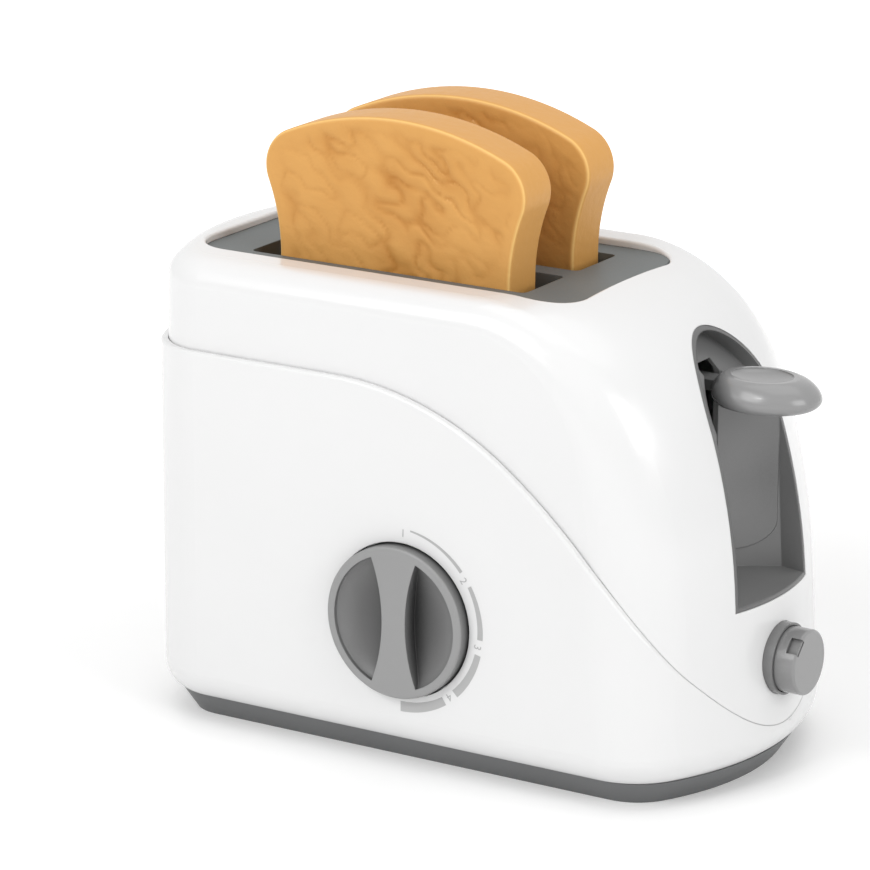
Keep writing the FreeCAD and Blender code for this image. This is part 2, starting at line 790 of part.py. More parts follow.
def niche_plan(ahead):
    """The niche seen from above: a flat middle, two hollow flanks and open to the lever end."""
    x0 = val("well_back") + ahead
    bend = val("well_bend_x") + 0.7 * ahead
    side_x = val("well_side_x") + 0.6 * ahead
    mid = val("well_slot_half")
    half = val("well_half") + 1
    far = 2 * val("right_end")

    def p(x, y):
        return V(x, y, 0)
    edges = [Part.LineSegment(p(x0, -mid), p(x0, mid)),
             Part.Arc(p(x0, mid), p(bend, val("well_bend_y") - 0.7 * ahead), p(side_x, half)),
             Part.LineSegment(p(side_x, half), p(far, half)),
             Part.LineSegment(p(far, half), p(far, -half)),
             Part.LineSegment(p(far, -half), p(side_x, -half)),
             Part.Arc(p(side_x, -half), p(bend, -val("well_bend_y") + 0.7 * ahead), p(x0, -mid))]
    return Part.Face(Part.Wire([edge.toShape() for edge in edges]))


def well_form(name, grow, ahead=0.0):
    """The space of the lever well, grown outwards by a wall."""
    plan = niche_plan(ahead)
    if grow:
        plan = plan.makeOffset2D(grow, 2)
    tall = plan.extrude(V(0, 0, val("casing_top")))
    low = val("well_low") - grow
    front = val("right_end")
    brow_x = val("well_side_x")
    lean = (brow_x - val("well_brow_back")) / (val("well_high") - val("well_brow_low"))
    shift = grow * math.sqrt(1 + lean ** 2)
    over = val("casing_top") - val("well_brow_low")
    brow = [V(brow_x - shift, -100, val("well_brow_low")),
            V(front + 60, -100, val("well_brow_low")),
            V(front + 60, -100, val("casing_top")),
            V(brow_x - shift - lean * over, -100, val("casing_top"))]
    tall = tall.fuse(Part.Face(Part.makePolygon(brow + [brow[0]])).extrude(V(0, 200, 0)))
    slope = val("well_rise")
    side = [V(40, 0, low + slope * (front - 40)), V(front + 60, 0, low - slope * 60),
            V(front + 60, 0, val("casing_top")), V(40, 0, val("casing_top"))]
    prism = Part.Face(Part.makePolygon(side + [side[0]])).extrude(V(0, 200, 0))
    prism.translate(V(0, -100, 0))
    form = doc.addObject("Part::Common", name)
    form.Base = feature(name + "_plan", tall.common(prism))
    form.Tool = arch(name + "_arch", grow)
    doc.recompute()
    return form


well_space = well_form("well_space", 0.0)
well_skin = well_form("well_skin", val("well_wall"))
well_room = well_form("well_room", val("well_wall") + val("well_gap"))
flush = rounded_form("flush", val("well_sink"), val("skirt_step"), -1.0)
lever_slot = block("lever_slot", "40", "<well_back> + 5", "-<well_slot_half>",
                   "<well_slot_half>", "<well_slot_low>", "<well_slot_high>")
well_inside = doc.addObject("Part::Common", "well_inside")
well_inside.Base = well_skin
well_inside.Tool = flush
panel_block = block("panel_block", "<well_back>", "<right_end>", "-<pad_half>", "<pad_half>",
                    "<well_low> + <well_rise> * (<right_end> - <well_back>) + <pad_low>",
                    "<well_high>")
doc.recompute()
panel_low = panel_block.Shape.BoundBox.ZMin
panel_outline = fillet("panel_outline", panel_block,
                       straight_edges(panel_block.Shape, V(1, 0, 0), lambda p: p.z < panel_low + 1),
                       val("pad_round"))
panel_front = well_form("panel_front", 0.0, val("pad_thick"))
panel_behind = cut("panel_behind", well_space, [panel_front])
panel = doc.addObject("Part::Common", "panel")
panel.Base = panel_behind
panel.Tool = panel_outline
well_cup = cut("well_cup", well_inside, [well_space])
well_padded = fuse("well_padded", [well_cup, panel])
node(cut("well", well_padded, [lever_slot]), "lever_well")

# ---------------------------------------------------------------- upper casing
insert_opening = round_box("insert_opening", "-<insert_left>", "<insert_right>", "-<insert_half>",
                           "<insert_half>", "<casing_top> - <wall> - <insert_drop>",
                           "<casing_top> + 1", val("insert_corner"))
bezel_hole = rod("bezel_hole", "<bezel_radius> + <socket_gap>", "40", "<bezel_step>", "0",
                 "<button_z>", ALONG_X)
corners = [("-<post_left>", "-<post_y>"), ("-<post_left>", "<post_y>"),
           ("<post_right>", "-<post_y>"), ("<post_right>", "<post_y>")]
base_top = "<post_low>"
posts = [rod("post_%d" % i, "<post_radius>", "<casing_top> - 1 - (%s)" % base_top, cx, cy, base_top)
         for i, (cx, cy) in enumerate(corners)]
post_holes = [rod("post_hole_%d" % i, "<screw_radius> + <thread_gap>", "<screw_long> + 2", cx, cy,
                  base_top) for i, (cx, cy) in enumerate(corners)]
post_notches = [rod("post_notch_%d" % i, "<post_radius> + <notch_gap>", "<casing_top>", cx, cy,
                    base_top) for i, (cx, cy) in enumerate(corners)]
ears = [("-<ear_left>", "-<ear_screw_y>"), ("-<ear_left>", "<ear_screw_y>"),
        ("<ear_right>", "-<ear_screw_y>"), ("<ear_right>", "<ear_screw_y>")]
ear_top = "<ear_low> + <ear_thick>"
lugs = [rod("lug_%d" % i, "<small_screw> + <boss_wall>", "<casing_top> - 1 - (%s)" % ear_top,
            ex, ey, ear_top) for i, (ex, ey) in enumerate(ears)]
lug_holes = [rod("lug_hole_%d" % i, "<small_screw> + <thread_gap>", "<small_long> - 1.5", ex, ey,
                 ear_top) for i, (ex, ey) in enumerate(ears)]
pegs = doc.addObject("Part::Common", "pegs")
pegs.Base = fuse("pegs_full", posts + lugs)
pegs.Tool = inner_high
hood_shell = cut("hood_shell", outer_high, [inner_high])
lip_ring = cut("lip_ring", outer_low, [lip_room])
lip_keepout = doc.addObject("Part::Common", "lip_keepout")
lip_keepout.Base = lip_ring
lip_keepout.Tool = seam_solid(0.0, 2 * val("right_end"), "at_seam")
hood_cut = cut("hood_cut", hood_shell, [below_lip, below_end_zone, lip_keepout])
hood_full = fuse("hood_full", [hood_cut, pegs])
hood_open = cut("hood_open", hood_full, [insert_opening])
doc.recompute()
rim_edge = shared_edges(hood_open, outer_high, insert_opening)
hood_rimmed = fillet("hood_rimmed", hood_open, rim_edge, val("insert_rim"))
node(cut("hood", hood_rimmed, [well_room, bezel_hole] + post_holes + lug_holes), "upper_casing")

# ---------------------------------------------------------------- base plate
plate_block = plan_block("plate_block", foot_inset + val("base_flare"), 0.0, foot, foot_inset)
rib_inset = val("opening_inset") + val("base_gap")
rib_high = foot + val("base_rib_tall")
rib_block = plan_block("rib_block", rib_inset, val("base_skin"), rib_high)
rib_space = plan_block("rib_space", rib_inset + val("base_rib"), val("base_skin"), rib_high + 1)
plate_ring = fuse("plate_ring", [plate_block, rib_block])
plate_tray = cut("plate_tray", plate_ring, [rib_space])
base_bosses = [rod("base_boss_%d" % i, "<post_radius> + 0.5", "%s - 1" % base_top, cx, cy, "1")
               for i, (cx, cy) in enumerate(corners)]
base_holes = [rod("base_hole_%d" % i, "<screw_radius> + 0.2", "20", cx, cy, "-1")
              for i, (cx, cy) in enumerate(corners)]
base_sinks = [rod("base_sink_%d" % i, "<screw_head> + 0.3", "<base_skin> + 1", cx, cy, "-1")
              for i, (cx, cy) in enumerate(corners)]
rod_spots = ["-<rod_y>", "<rod_y>"]
rod_bosses = [rod("rod_boss_%d" % i, "<rod_radius> + <boss_wall>", "<rod_socket> - 1", "<rod_x>",
                  ry, "1") for i, ry in enumerate(rod_spots)]
rod_sockets = [rod("rod_socket_%d" % i, "<rod_radius> + <socket_gap>", "<rod_socket>", "<rod_x>",
                   ry, "<base_skin>") for i, ry in enumerate(rod_spots)]
ear_y = "<catch_half> + <catch_gap>"
catch_ears = []
for i, (y0, y1) in enumerate((("%s" % ear_y, "%s + <catch_ear>" % ear_y),
                              ("-(%s) - <catch_ear>" % ear_y, "-(%s)" % ear_y))):
    catch_ears.append(block("catch_ear_%d" % i, "<catch_x> - <catch_ear_half>",
                            "<catch_x> + <catch_ear_half>", y0, y1, "1", "<catch_z>"))
    catch_ears.append(rod("catch_ear_top_%d" % i, "<catch_ear_half>", "<catch_ear>", "<catch_x>",
                          y0, "<catch_z>", ALONG_Y))
pin_hole = rod("pin_hole", "<catch_pin> + <socket_gap>", "30", "<catch_x>", "-15", "<catch_z>",
               ALONG_Y)
cradle = block("cradle", "<bezel_back> + 1", "<bezel_back> + 5", "-6", "6", "1",
               "<button_z> - <bezel_flange> + 2")
cradle_cut = rod("cradle_cut", "<bezel_flange> + <bed_gap>", "20", "<bezel_back> - 5", "0", "<button_z>",
                 ALONG_X)
plate_full = fuse("plate_full", [plate_tray, cradle] + base_bosses + rod_bosses + catch_ears)
node(cut("plate", plate_full, base_holes + base_sinks + rod_sockets + post_notches
         + [pin_hole, cradle_cut]),
     "base_plate")

# ---------------------------------------------------------------- top insert
ceiling = "<casing_top> - <wall>"
grow = "<insert_flange>"
insert_sheet = round_box("insert_sheet", "-<insert_left> - %s" % grow,
                         "<insert_right> - <insert_gap>",
                         "-<insert_half> - %s" % grow, "<insert_half> + %s" % grow,
                         "%s - <insert_plate>" % ceiling, ceiling,
                         val("insert_corner") + val("insert_flange"))
insert_flanged = doc.addObject("Part::Common", "insert_flanged")
insert_flanged.Base = insert_sheet
insert_flanged.Tool = bed
insert_plug = round_box("insert_plug", "-<insert_left> + <insert_gap>",
                        "<insert_right> - <insert_gap>", "-<insert_half> + <insert_gap>",
                        "<insert_half> - <insert_gap>", "%s - <insert_plate>" % ceiling, ceiling,
                        val("insert_corner") - val("insert_gap"))


def slots(name, grow, low, high, radius):
    """The pair of toast slots, or their collars, as upright blocks."""
    pair = []
    for i, side in enumerate((-1, 1)):
        inner = "%d * (<slot_inner> - (%s))" % (side, grow)
        outer = "%d * (<slot_outer> + %s)" % (side, grow)
        y0, y1 = (outer, inner) if side < 0 else (inner, outer)
        pair.append(round_box("%s_%d" % (name, i), "-<slot_left> - (%s)" % grow,
                              "<slot_right> + %s" % grow, y0, y1, low, high, radius))
    return pair


collar_low = "%s - <collar_depth>" % ceiling
collars = slots("collar", "<collar_wall>", collar_low, "%s - 1" % ceiling,
                val("slot_round") + val("collar_wall"))
slot_cuts = slots("slot_cut", "0", "%s - 1" % collar_low, "<casing_top>", val("slot_round"))
caps = [rod("rod_cap_%d" % i, "<rod_radius> + <boss_wall>", "<rod_cap>", "<rod_x>", ry,
            "%s - <insert_plate> - <rod_cap>" % ceiling) for i, ry in enumerate(rod_spots)]
cap_holes = [rod("cap_hole_%d" % i, "<rod_radius> + <socket_gap>", "<rod_cap>", "<rod_x>", ry,
                 "%s - <insert_plate> - <rod_cap>" % ceiling) for i, ry in enumerate(rod_spots)]
insert_full = fuse("insert_full", [insert_flanged, insert_plug] + collars + caps)
node(cut("insert", insert_full, slot_cuts + cap_holes + post_notches), "top_insert")

# ---------------------------------------------------------------- toast chamber
side_gap = "<collar_wall> + <chamber_gap>"
skin = "<collar_wall> + <chamber_gap> + <chamber_wall>"
chamber_top = "%s - <insert_plate>" % ceiling
chamber_box = round_box("chamber_box", "-<slot_left> - (%s)" % skin, "<slot_right> + %s" % skin,
                        "-<slot_outer> - (%s)" % skin, "<slot_outer> + %s" % skin,
                        "<chamber_low>", chamber_top, val("slot_round") + 2)
chamber_ears = []
for i, (ex, ey) in enumerate(ears):
    near = "<slot_outer>"
    y0, y1 = ("-<ear_reach>", "-%s" % near) if ey.startswith("-") else (near, "<ear_reach>")
    chamber_ears.append(block("chamber_ear_%d" % i, "%s - <ear_half>" % ex, "%s + <ear_half>" % ex,
                              y0, y1, "<ear_low>", ear_top))
wells = slots("chamber_space", side_gap, "<chamber_low> - 1", "<casing_top>",
              val("slot_round") + 1)
arm_slots = []
for i, side in enumerate((-1, 1)):
    arm_slots.append(block("arm_slot_%d" % i, "<slot_right>", "<slot_right> + 10",
                           "%d * <neck_centre> - <neck_half> - <pass_gap>" % side,
                           "%d * <neck_centre> + <neck_half> + <pass_gap>" % side,
                           "<chamber_low> - 1", "<arm_slot_high>"))
ear_holes = [rod("ear_hole_%d" % i, "<small_screw> + 0.2", "20", ex, ey, "<ear_low> - 5")
             for i, (ex, ey) in enumerate(ears)]
chamber_full = fuse("chamber_full", [chamber_box] + chamber_ears)
node(cut("chamber", chamber_full, wells + arm_slots + ear_holes), "toast_chamber")

# ---------------------------------------------------------------- carriage
tray_low = "<tray_top> - <tray_thick>"
carriage = []
for i, side in enumerate((-1, 1)):
    body = doc.addObject("PartDesign::Body", "tray_%d" % i)
    a = "%d * <tray_inner>" % side
    b = "%d * <tray_outer>" % side
    c = "%d * (<neck_centre> - <neck_half>)" % side
    d = "%d * (<neck_centre> + <neck_half>)" % side
    end = "<slot_right> - 0.5"
    flat = outline_sketch(body, "XY_Plane", "tray_outline_%d" % i, [
        ("-<tray_left>", a), (end, a), (end, c), ("<bridge_near> + 1", c),
        ("<bridge_near> + 1", d), (end, d), (end, b), ("-<tray_left>", b)])
    pad(body, flat, "tray_pad_%d" % i, "<tray_thick>")
    place(body, "0", "0", tray_low)
    carriage.append(body)
    for j, rib in enumerate(("<toast_inner> - 0.3 - <tray_rib>", "<tray_outer> - <tray_rib>")):
        y0 = "%d * (%s)" % (side, rib)
        y1 = "%d * (%s + <tray_rib>)" % (side, rib)
        if side < 0:
            y0, y1 = y1, y0
        carriage.append(block("tray_rib_%d_%d" % (i, j), "-<tray_left>", end, y0, y1, tray_low,
                              "<tray_top> + <tray_rib_tall>"))
bridge = doc.addObject("PartDesign::Body", "bridge")
bridge_side = "<rod_y> + <sleeve_radius>"
bridge_face = outline_sketch(bridge, "YZ_Plane", "bridge_outline", [
    ("-(%s)" % bridge_side, "<sleeve_low>"), ("-<bridge_mid>", "<bridge_low>"),
    ("<bridge_mid>", "<bridge_low>"), (bridge_side, "<sleeve_low>"),
    (bridge_side, "<sleeve_high>"), ("<bridge_mid>", "<bridge_high>"),
    ("-<bridge_mid>", "<bridge_high>"), ("-(%s)" % bridge_side, "<sleeve_high>")])
pad(bridge, bridge_face, "bridge_pad", "<bridge_thick>")
place(bridge, "<bridge_near>", "0", "0")
carriage.append(bridge)
strike = doc.addObject("PartDesign::Body", "strike")
bridge_far = "<bridge_near> + <bridge_thick>"
nose_tip = "<catch_x> + <catch_thick> / 2 + <catch_nose>"
strike_face = outline_sketch(strike, "XZ_Plane", "strike_outline", [
    ("%s - 1" % bridge_far, "<strike_high> - 3"), ("%s + 0.6" % nose_tip, "<strike_high> - 3"),
    ("%s + 0.6" % nose_tip, "<strike_low> + <strike_lip>"),
    ("%s - 2.2" % nose_tip, "<strike_low> + <strike_lip>"), ("%s - 0.6" % nose_tip, "<strike_low>"),
    ("%s + 3.6" % nose_tip, "<strike_low>"), ("%s + 3.6" % nose_tip, "<strike_high>"),
    ("%s - 1" % bridge_far, "<strike_high>")])
pad(strike, strike_face, "strike_pad", "2 * <strike_half>", both=True)
carriage.append(strike)
carriage += [rod("sleeve_%d" % i, "<sleeve_radius>", "<sleeve_high> - <sleeve_low>", "<rod_x>", ry,
                 "<sleeve_low>") for i, ry in enumerate(rod_spots)]
sleeve_bores = [rod("sleeve_bore_%d" % i, "<rod_radius> + <running_gap>", "60", "<rod_x>", ry,
                    "<sleeve_low> - 20") for i, ry in enumerate(rod_spots)]
arm_fix_z = "(<arm_foot_low> + <arm_foot_high>) / 2"
arm_fix_y = ["-<arm_foot_half> + 3", "<arm_foot_half> - 3"]
bridge_pilots = [rod("bridge_pilot_%d" % i, "<small_screw> + <thread_gap>", "20",
                     "<bridge_near> - 5", fy, arm_fix_z, ALONG_X) for i, fy in enumerate(arm_fix_y)]
node(cut("carriage", fuse("carriage_full", carriage), sleeve_bores + bridge_pilots),
     "toast_carriage")

# guide rods and lift springs
for label, ry in (("guide_rod_front", "-<rod_y>"), ("guide_rod_rear", "<rod_y>")):
    node(rod(label, "<rod_radius>", "%s - <insert_plate> - 1 - <base_skin>" % ceiling, "<rod_x>", ry,
             "<base_skin>"), label)


def coil(label, mean, wire, tall, turns, place_at, way=None):
    """A coil spring of straight facets: a six-sided wire carried round a helix."""
    run = tall - 2 * wire
    count = int(turns * val("coil_sides"))
    line = []
    for i in range(count + 1):
        spot = polar((0, 0), mean, 360.0 * i / val("coil_sides"))
        line.append(V(spot[0], spot[1], wire + run * i / count))
    ahead = (line[1] - line[0]).normalize()
    out = V(1, 0, 0)
    out = (out - ahead * out.dot(ahead)).normalize()
    across = ahead.cross(out)
    ring = [line[0] + out * wire * math.cos(math.radians(60 * k))
            + across * wire * math.sin(math.radians(60 * k)) for k in range(7)]
    path = Part.Wire(Part.makePolygon(line).Edges)
    shape = path.makePipeShell([Part.makePolygon(ring)], True, False, 1)
    spring = feature(label, shape)
    turned = FreeCAD.Rotation(*way) if way else FreeCAD.Rotation()
    spring.Placement = FreeCAD.Placement(V(*place_at), turned)
    return spring


for label, side in (("lift_spring_front", -1), ("lift_spring_rear", 1)):
    node(coil(label, val("spring_mean"), val("spring_wire"), val("sleeve_low") - val("rod_socket"),
              val("spring_turns"), (val("rod_x"), side * val("rod_y"), val("rod_socket"))), label)

# lever arm, its screws and the handle
arm = doc.addObject("PartDesign::Body", "arm")
arm_face = outline_sketch(arm, "YZ_Plane", "arm_foot_outline", [
    ("-<arm_foot_half>", "<arm_foot_low>"), ("<arm_foot_half>", "<arm_foot_low>"),
    ("<arm_foot_half>", "<arm_foot_high>"), ("-<arm_foot_half>", "<arm_foot_high>")])
pad(arm, arm_face, "arm_foot_pad", "1.5")
arm_bar = outline_sketch(arm, "YZ_Plane", "arm_bar_outline", [
    ("-<arm_half>", "<arm_low>"), ("<arm_half>", "<arm_low>"),
    ("<arm_half>", "<arm_high>"), ("-<arm_half>", "<arm_high>")])
pad(arm, arm_bar, "arm_bar_pad", "<arm_reach> - (%s)" % bridge_far)
arm_holes = ring_sketch(arm, "YZ_Plane", "arm_holes", [
    (fy, arm_fix_z, "<small_screw> + 0.15") for fy in arm_fix_y])
pocket(arm, arm_holes, "arm_hole_pocket", "3", back=True)
place(arm, bridge_far, "0", "0")
node(arm, "lever_arm")
arm_screws = []
for i, fy in enumerate(arm_fix_y):
    arm_screws.append(rod("arm_screw_head_%d" % i, "<small_head>", "<small_head_tall>",
                          "%s + 1.5" % bridge_far, fy, arm_fix_z, ALONG_X))
    arm_screws.append(rod("arm_screw_shank_%d" % i, "<small_screw>", "<bridge_thick> + 2.5",
                          "%s - <bridge_thick>" % bridge_far, fy, arm_fix_z, ALONG_X))
node(fuse("arm_screw_pair", arm_screws), "lever_screws")

rings = []
above = "(<handle_top> - <handle_wide>)"
below = "(<handle_wide> - <handle_low>)"
for i, (level, scale) in enumerate((("<handle_low>", 0.62),
                                    ("<handle_low> + 0.30 * %s" % below, 0.86),
                                    ("<handle_low> + 0.65 * %s" % below, 0.965),
                                    ("<handle_wide>", 1.0),
                                    ("<handle_wide> + 0.45 * %s" % above, 0.955),
                                    ("<handle_wide> + 0.80 * %s" % above, 0.84),
                                    ("<handle_top>", 0.68))):
    e = doc.addObject("Part::Ellipse", "handle_ring_%d" % i)
    expr(e, "MajorRadius", "%g * <handle_long>" % scale)
    expr(e, "MinorRadius", "%g * <handle_half>" % scale)
    place(e, "<handle_centre> - %g * <handle_long>" % (0.25 * (1 - scale)), "0", level)
    rings.append(e)
doc.recompute()
paddle = doc.addObject("Part::Loft", "paddle")
paddle.Sections = rings
paddle.Solid = True
neck = block("handle_neck", "<handle_neck_heel>", "<handle_centre> - 5", "-<handle_neck_half>",
             "<handle_neck_half>", "<handle_neck_low>", "<handle_neck_high>")
dimple = doc.addObject("Part::Ellipsoid", "thumb_dimple")
expr(dimple, "Radius1", "<dimple_deep>")
expr(dimple, "Radius2", "<dimple_long>")
expr(dimple, "Radius3", "<dimple_half>")
place(dimple, "<handle_centre> - 1.4", "0", "<handle_top>")
arm_pocket = block("arm_pocket", "<handle_neck_heel> - 1", "<arm_reach> + <socket_gap>",
                   "-<arm_half> - <socket_gap>", "<arm_half> + <socket_gap>",
                   "<arm_low> - <socket_gap>", "<arm_high> + <socket_gap>")
node(cut("handle", fuse("handle_full", [paddle, neck]), [dimple, arm_pocket]), "lever_handle")


# ---------------------------------------------------------------- toast
def toast_outline():
    """A slice seen from the side: flat foot, straight flanks, a neck and a domed top."""
    flank = val("toast_foot_half")
    lobe = val("toast_bulge_round")
    foot_r = val("toast_foot_round")
    neck_r = val("toast_neck_round")
    crown = val("toast_crown_round")
    lobe_c = (val("toast_bulge_half") - lobe, val("toast_bulge"))
    neck_x = flank + neck_r
    drop = math.sqrt((lobe + neck_r) ** 2 - (neck_x - lobe_c[0]) ** 2)
    neck_c = (neck_x, lobe_c[1] - drop)
    down = math.degrees(math.atan2(neck_c[1] - lobe_c[1], neck_c[0] - lobe_c[0]))
    crown_z = lobe_c[1] - math.sqrt((crown - lobe) ** 2 - lobe_c[0] ** 2)
    rise = math.degrees(math.atan2(lobe_c[1] - crown_z, lobe_c[0]))
    base = val("tray_top")
    middle = val("toast_centre")

    def p(q, side=1):
        return V(middle + side * q[0], 0, base + q[1])
    edges = []
    for side in (1, -1):
        edges += [Part.Arc(p((flank - foot_r, 0), side), p(polar((flank - foot_r, foot_r), foot_r, -45), side),
                           p((flank, foot_r), side)),
                  Part.LineSegment(p((flank, foot_r), side), p((flank, neck_c[1]), side)),
                  Part.Arc(p((flank, neck_c[1]), side), p(polar(neck_c, neck_r, (360 + down) / 2), side),
                           p(polar(lobe_c, lobe, down), side)),
                  Part.Arc(p(polar(lobe_c, lobe, down), side), p(polar(lobe_c, lobe, (down + rise) / 2), side),
                           p(polar(lobe_c, lobe, rise), side))]
    top = polar((0, crown_z), crown, rise)
    edges.append(Part.Arc(p(top), p((0, crown_z + crown)), p(top, -1)))
    edges.append(Part.LineSegment(p((flank - foot_r, 0)), p((flank - foot_r, 0), -1)))
    return Part.Wire(Part.__sortEdges__([e.toShape() for e in edges]))


slice_wire = feature("slice_outline", toast_outline())
for label, side in (("toast_front", -1), ("toast_rear", 1)):
    bread = doc.addObject("Part::Extrusion", label + "_block")
    bread.Base = slice_wire
    bread.DirMode = "Custom"
    bread.Dir = V(0, side, 0)
    expr(bread, "LengthFwd", "<toast_thick> * 1 mm")
    expr(bread, "Placement.Base.y", "%d * <toast_inner> * 1 mm" % side)
    bread.Solid = True
    doc.recompute()
    node(fillet(label, bread, [i + 1 for i, e in enumerate(bread.Shape.Edges)
                               if e.BoundBox.YLength < 1e-3], val("toast_edge")), label)


# ---------------------------------------------------------------- clockwork
def layer(k):
    """|Y| of the front of a layer of wheels between the timer plates."""
    return "<timer_front> - <timer_plate> - <layer_gap> - %d * (<wheel_thick> + <layer_gap>)" % k


def first_tooth(teeth, toward, driver_teeth, driver_tooth=0.0):
    """Angle of a gear's first tooth, so that it meets a gap of the gear that drives it.

    toward is the direction from the driver's axis to this gear's axis, in degrees."""
    pitches = (toward - driver_tooth) * driver_teeth / 360.0
    ahead = math.ceil(pitches) - pitches
    return toward + 180 - (ahead + 0.5) * 360.0 / teeth


def gear(name, teeth, thick, bore, x, depth, z, tooth_at=0.0):
    """A spur gear whose front face is at a depth behind the dial."""
    body = doc.addObject("PartDesign::Body", name)
    pitch = "%s * <tooth> / 2" % teeth
    circles = [("0", "0", "%s - 1.15 * <tooth>" % pitch)]
    if bore:
        circles.append(("0", "0", bore))
    pad(body, ring_sketch(body, "XZ_Plane", name + "_disc", circles), name + "_blank", thick,
        back=True)
    outline = []
    for side, places in ((-1, (0, 1, 2)), (1, (2, 1, 0))):
        for k in places:
            across = ("%s - 1.6 * <tooth>" % pitch, pitch, "%s + 0.85 * <tooth>" % pitch)[k]
            wide = ("1.25", "0.785", "0.36")[k]
            outline.append((across, "%d * (%s * <tooth> - <tooth_gap>)" % (side, wide)))
    flank = outline_sketch(body, "XZ_Plane", name + "_flank", outline)
    first = pad(body, flank, name + "_first", thick, back=True)
    pattern = body.newObject("PartDesign::PolarPattern", name + "_teeth")
    pattern.Originals = [first]
    pattern.Axis = (flank, ["N_Axis"])
    pattern.Angle = 360
    expr(pattern, "Occurrences", teeth)
    body.Tip = pattern
    turn(body, V(0, -1, 0), tooth_at)
    return place(body, x, "-(%s)" % depth, z)


main_pitch = "<main_teeth> * <tooth> / 2"
pinion_pitch = "<pinion_teeth> * <tooth> / 2"
second_x = "<dial_x> - %s - %s" % (main_pitch, pinion_pitch)
reach = "(<second_teeth> + <pinion_teeth>) * <tooth> / 2"
third_x = "%s + %s * cos(<third_angle> * 1 deg)" % (second_x, reach)
third_z = "<dial_z> + %s * sin(<third_angle> * 1 deg)" % reach

gap = "<running_gap>"
node(gear("main", "<main_teeth>", "<wheel_thick>", "<spindle_radius> + <thread_gap>", "<dial_x>",
          layer(0), "<dial_z>"), "main_wheel")
arbor_long = "<timer_front> - <timer_back> - 0.4"
second_tooth = first_tooth(val("pinion_teeth"), 180.0, val("main_teeth"))
third_tooth = first_tooth(val("pinion_teeth"), val("third_angle"), val("second_teeth"))
second = fuse("second", [
    gear("second_pinion", "<pinion_teeth>", "<wheel_thick> + <layer_gap> + 0.5", None, second_x,
         layer(0), "<dial_z>", second_tooth),
    gear("second_rim", "<second_teeth>", "<wheel_thick>", None, second_x, layer(1), "<dial_z>"),
    rod("second_arbor", "<arbor_radius>", arbor_long, second_x, "-<timer_front> + 0.2",
        "<dial_z>", ALONG_Y)])
node(second, "second_wheel")
third = fuse("third", [
    gear("third_pinion", "<pinion_teeth>", "<wheel_thick> + <layer_gap> + 0.5", None, third_x,
         layer(1), third_z, third_tooth),
    block("fly_blade", "%s - <fly_reach>" % third_x, "%s + <fly_reach>" % third_x,
          "-(%s)" % layer(2), "-(%s) + 5" % layer(2), "%s - <fly_thick> / 2" % third_z,
          "%s + <fly_thick> / 2" % third_z),
    rod("third_arbor", "<arbor_radius>", arbor_long, third_x, "-<timer_front> + 0.2", third_z,
        ALONG_Y)])
node(third, "fly_governor")

spindle_front = "<casing_half> + <knob_proud> - <scoop_deep> - 1.2"
node(rod("spindle", "<spindle_radius>", "%s - <timer_back> - 0.2" % spindle_front, "<dial_x>",
         "-(%s)" % spindle_front, "<dial_z>", ALONG_Y), "timer_spindle")
cam_disc = rod("cam_disc", "<cam_radius>", "<wheel_thick>", "<dial_x>",
               "-<timer_back> - <timer_plate> - <wheel_thick> - 0.4", "<dial_z>", ALONG_Y)
cam_lobe = rod("cam_lobe", "<cam_lift>", "<wheel_thick>", "<dial_x>",
               "-<timer_back> - <timer_plate> - <wheel_thick> - 0.4", "<dial_z> - <cam_radius>", ALONG_Y)
cam_bore = rod("cam_bore", "<spindle_radius> + <thread_gap>", "30", "<dial_x>", "-60", "<dial_z>",
               ALONG_Y)
node(cut("cam", fuse("cam_full", [cam_disc, cam_lobe]), [cam_bore]), "trip_cam")

# mainspring: half turns about two centres
turns = []
for k in range(7):
    radius = "<coil_first> + %d * <coil_step>" % k
    centre = "<dial_x> + %g * <coil_step>" % (0.5 if k % 2 else -0.5)
    halves = []
    for j, grow in enumerate(("+ <coil_strip> / 2", "- <coil_strip> / 2")):
        h = rod("coil_%d_%d" % (k, j), "%s %s" % (radius, grow), "<coil_wide>", centre,
                "-(%s)" % layer(2), "<dial_z>", ALONG_Y)
        h.Angle = 180
        spin = FreeCAD.Rotation(V(0, 1, 0), 180 if k % 2 else 0)
        h.Placement = FreeCAD.Placement(h.Placement.Base, spin.multiply(h.Placement.Rotation))
        halves.append(h)
    turns.append(cut("coil_turn_%d" % k, halves[0], [halves[1]]))
node(fuse("coil_all", turns), "mainspring")

# plates and pillars
pillars = [("-<back_left> + <fixing_in>", "<back_low> + <fixing_in>"),
           ("<back_right> - <fixing_in>", "<back_low> + <fixing_in>"),
           ("-<back_left> + <fixing_in>", "<back_high> - <fixing_in>"),
           ("<back_right> - <fixing_in>", "<back_high> - <fixing_in>")]


def timer_sheet(label, x0, x1, z0, z1, y, extra):
    """One flat plate of the clockwork with its bearing holes."""
    body = doc.addObject("PartDesign::Body", label)
    flat = outline_sketch(body, "XZ_Plane", label + "_outline",
                          [(x0, z0), (x1, z0), (x1, z1), (x0, z1)])
    sheet_pad = pad(body, flat, label + "_pad", "<timer_plate>", back=True)
    holes = ring_sketch(body, "XZ_Plane", label + "_holes", [
        ("<dial_x>", "<dial_z>", "<spindle_radius> + %s" % gap),
        (second_x, "<dial_z>", "<arbor_radius> + %s" % gap),
        (third_x, third_z, "<arbor_radius> + %s" % gap)] + extra)
    pocket(body, holes, label + "_hole_pocket", "3")
    doc.recompute()
    place(body, "0", y, "0")
    return node(body, label)


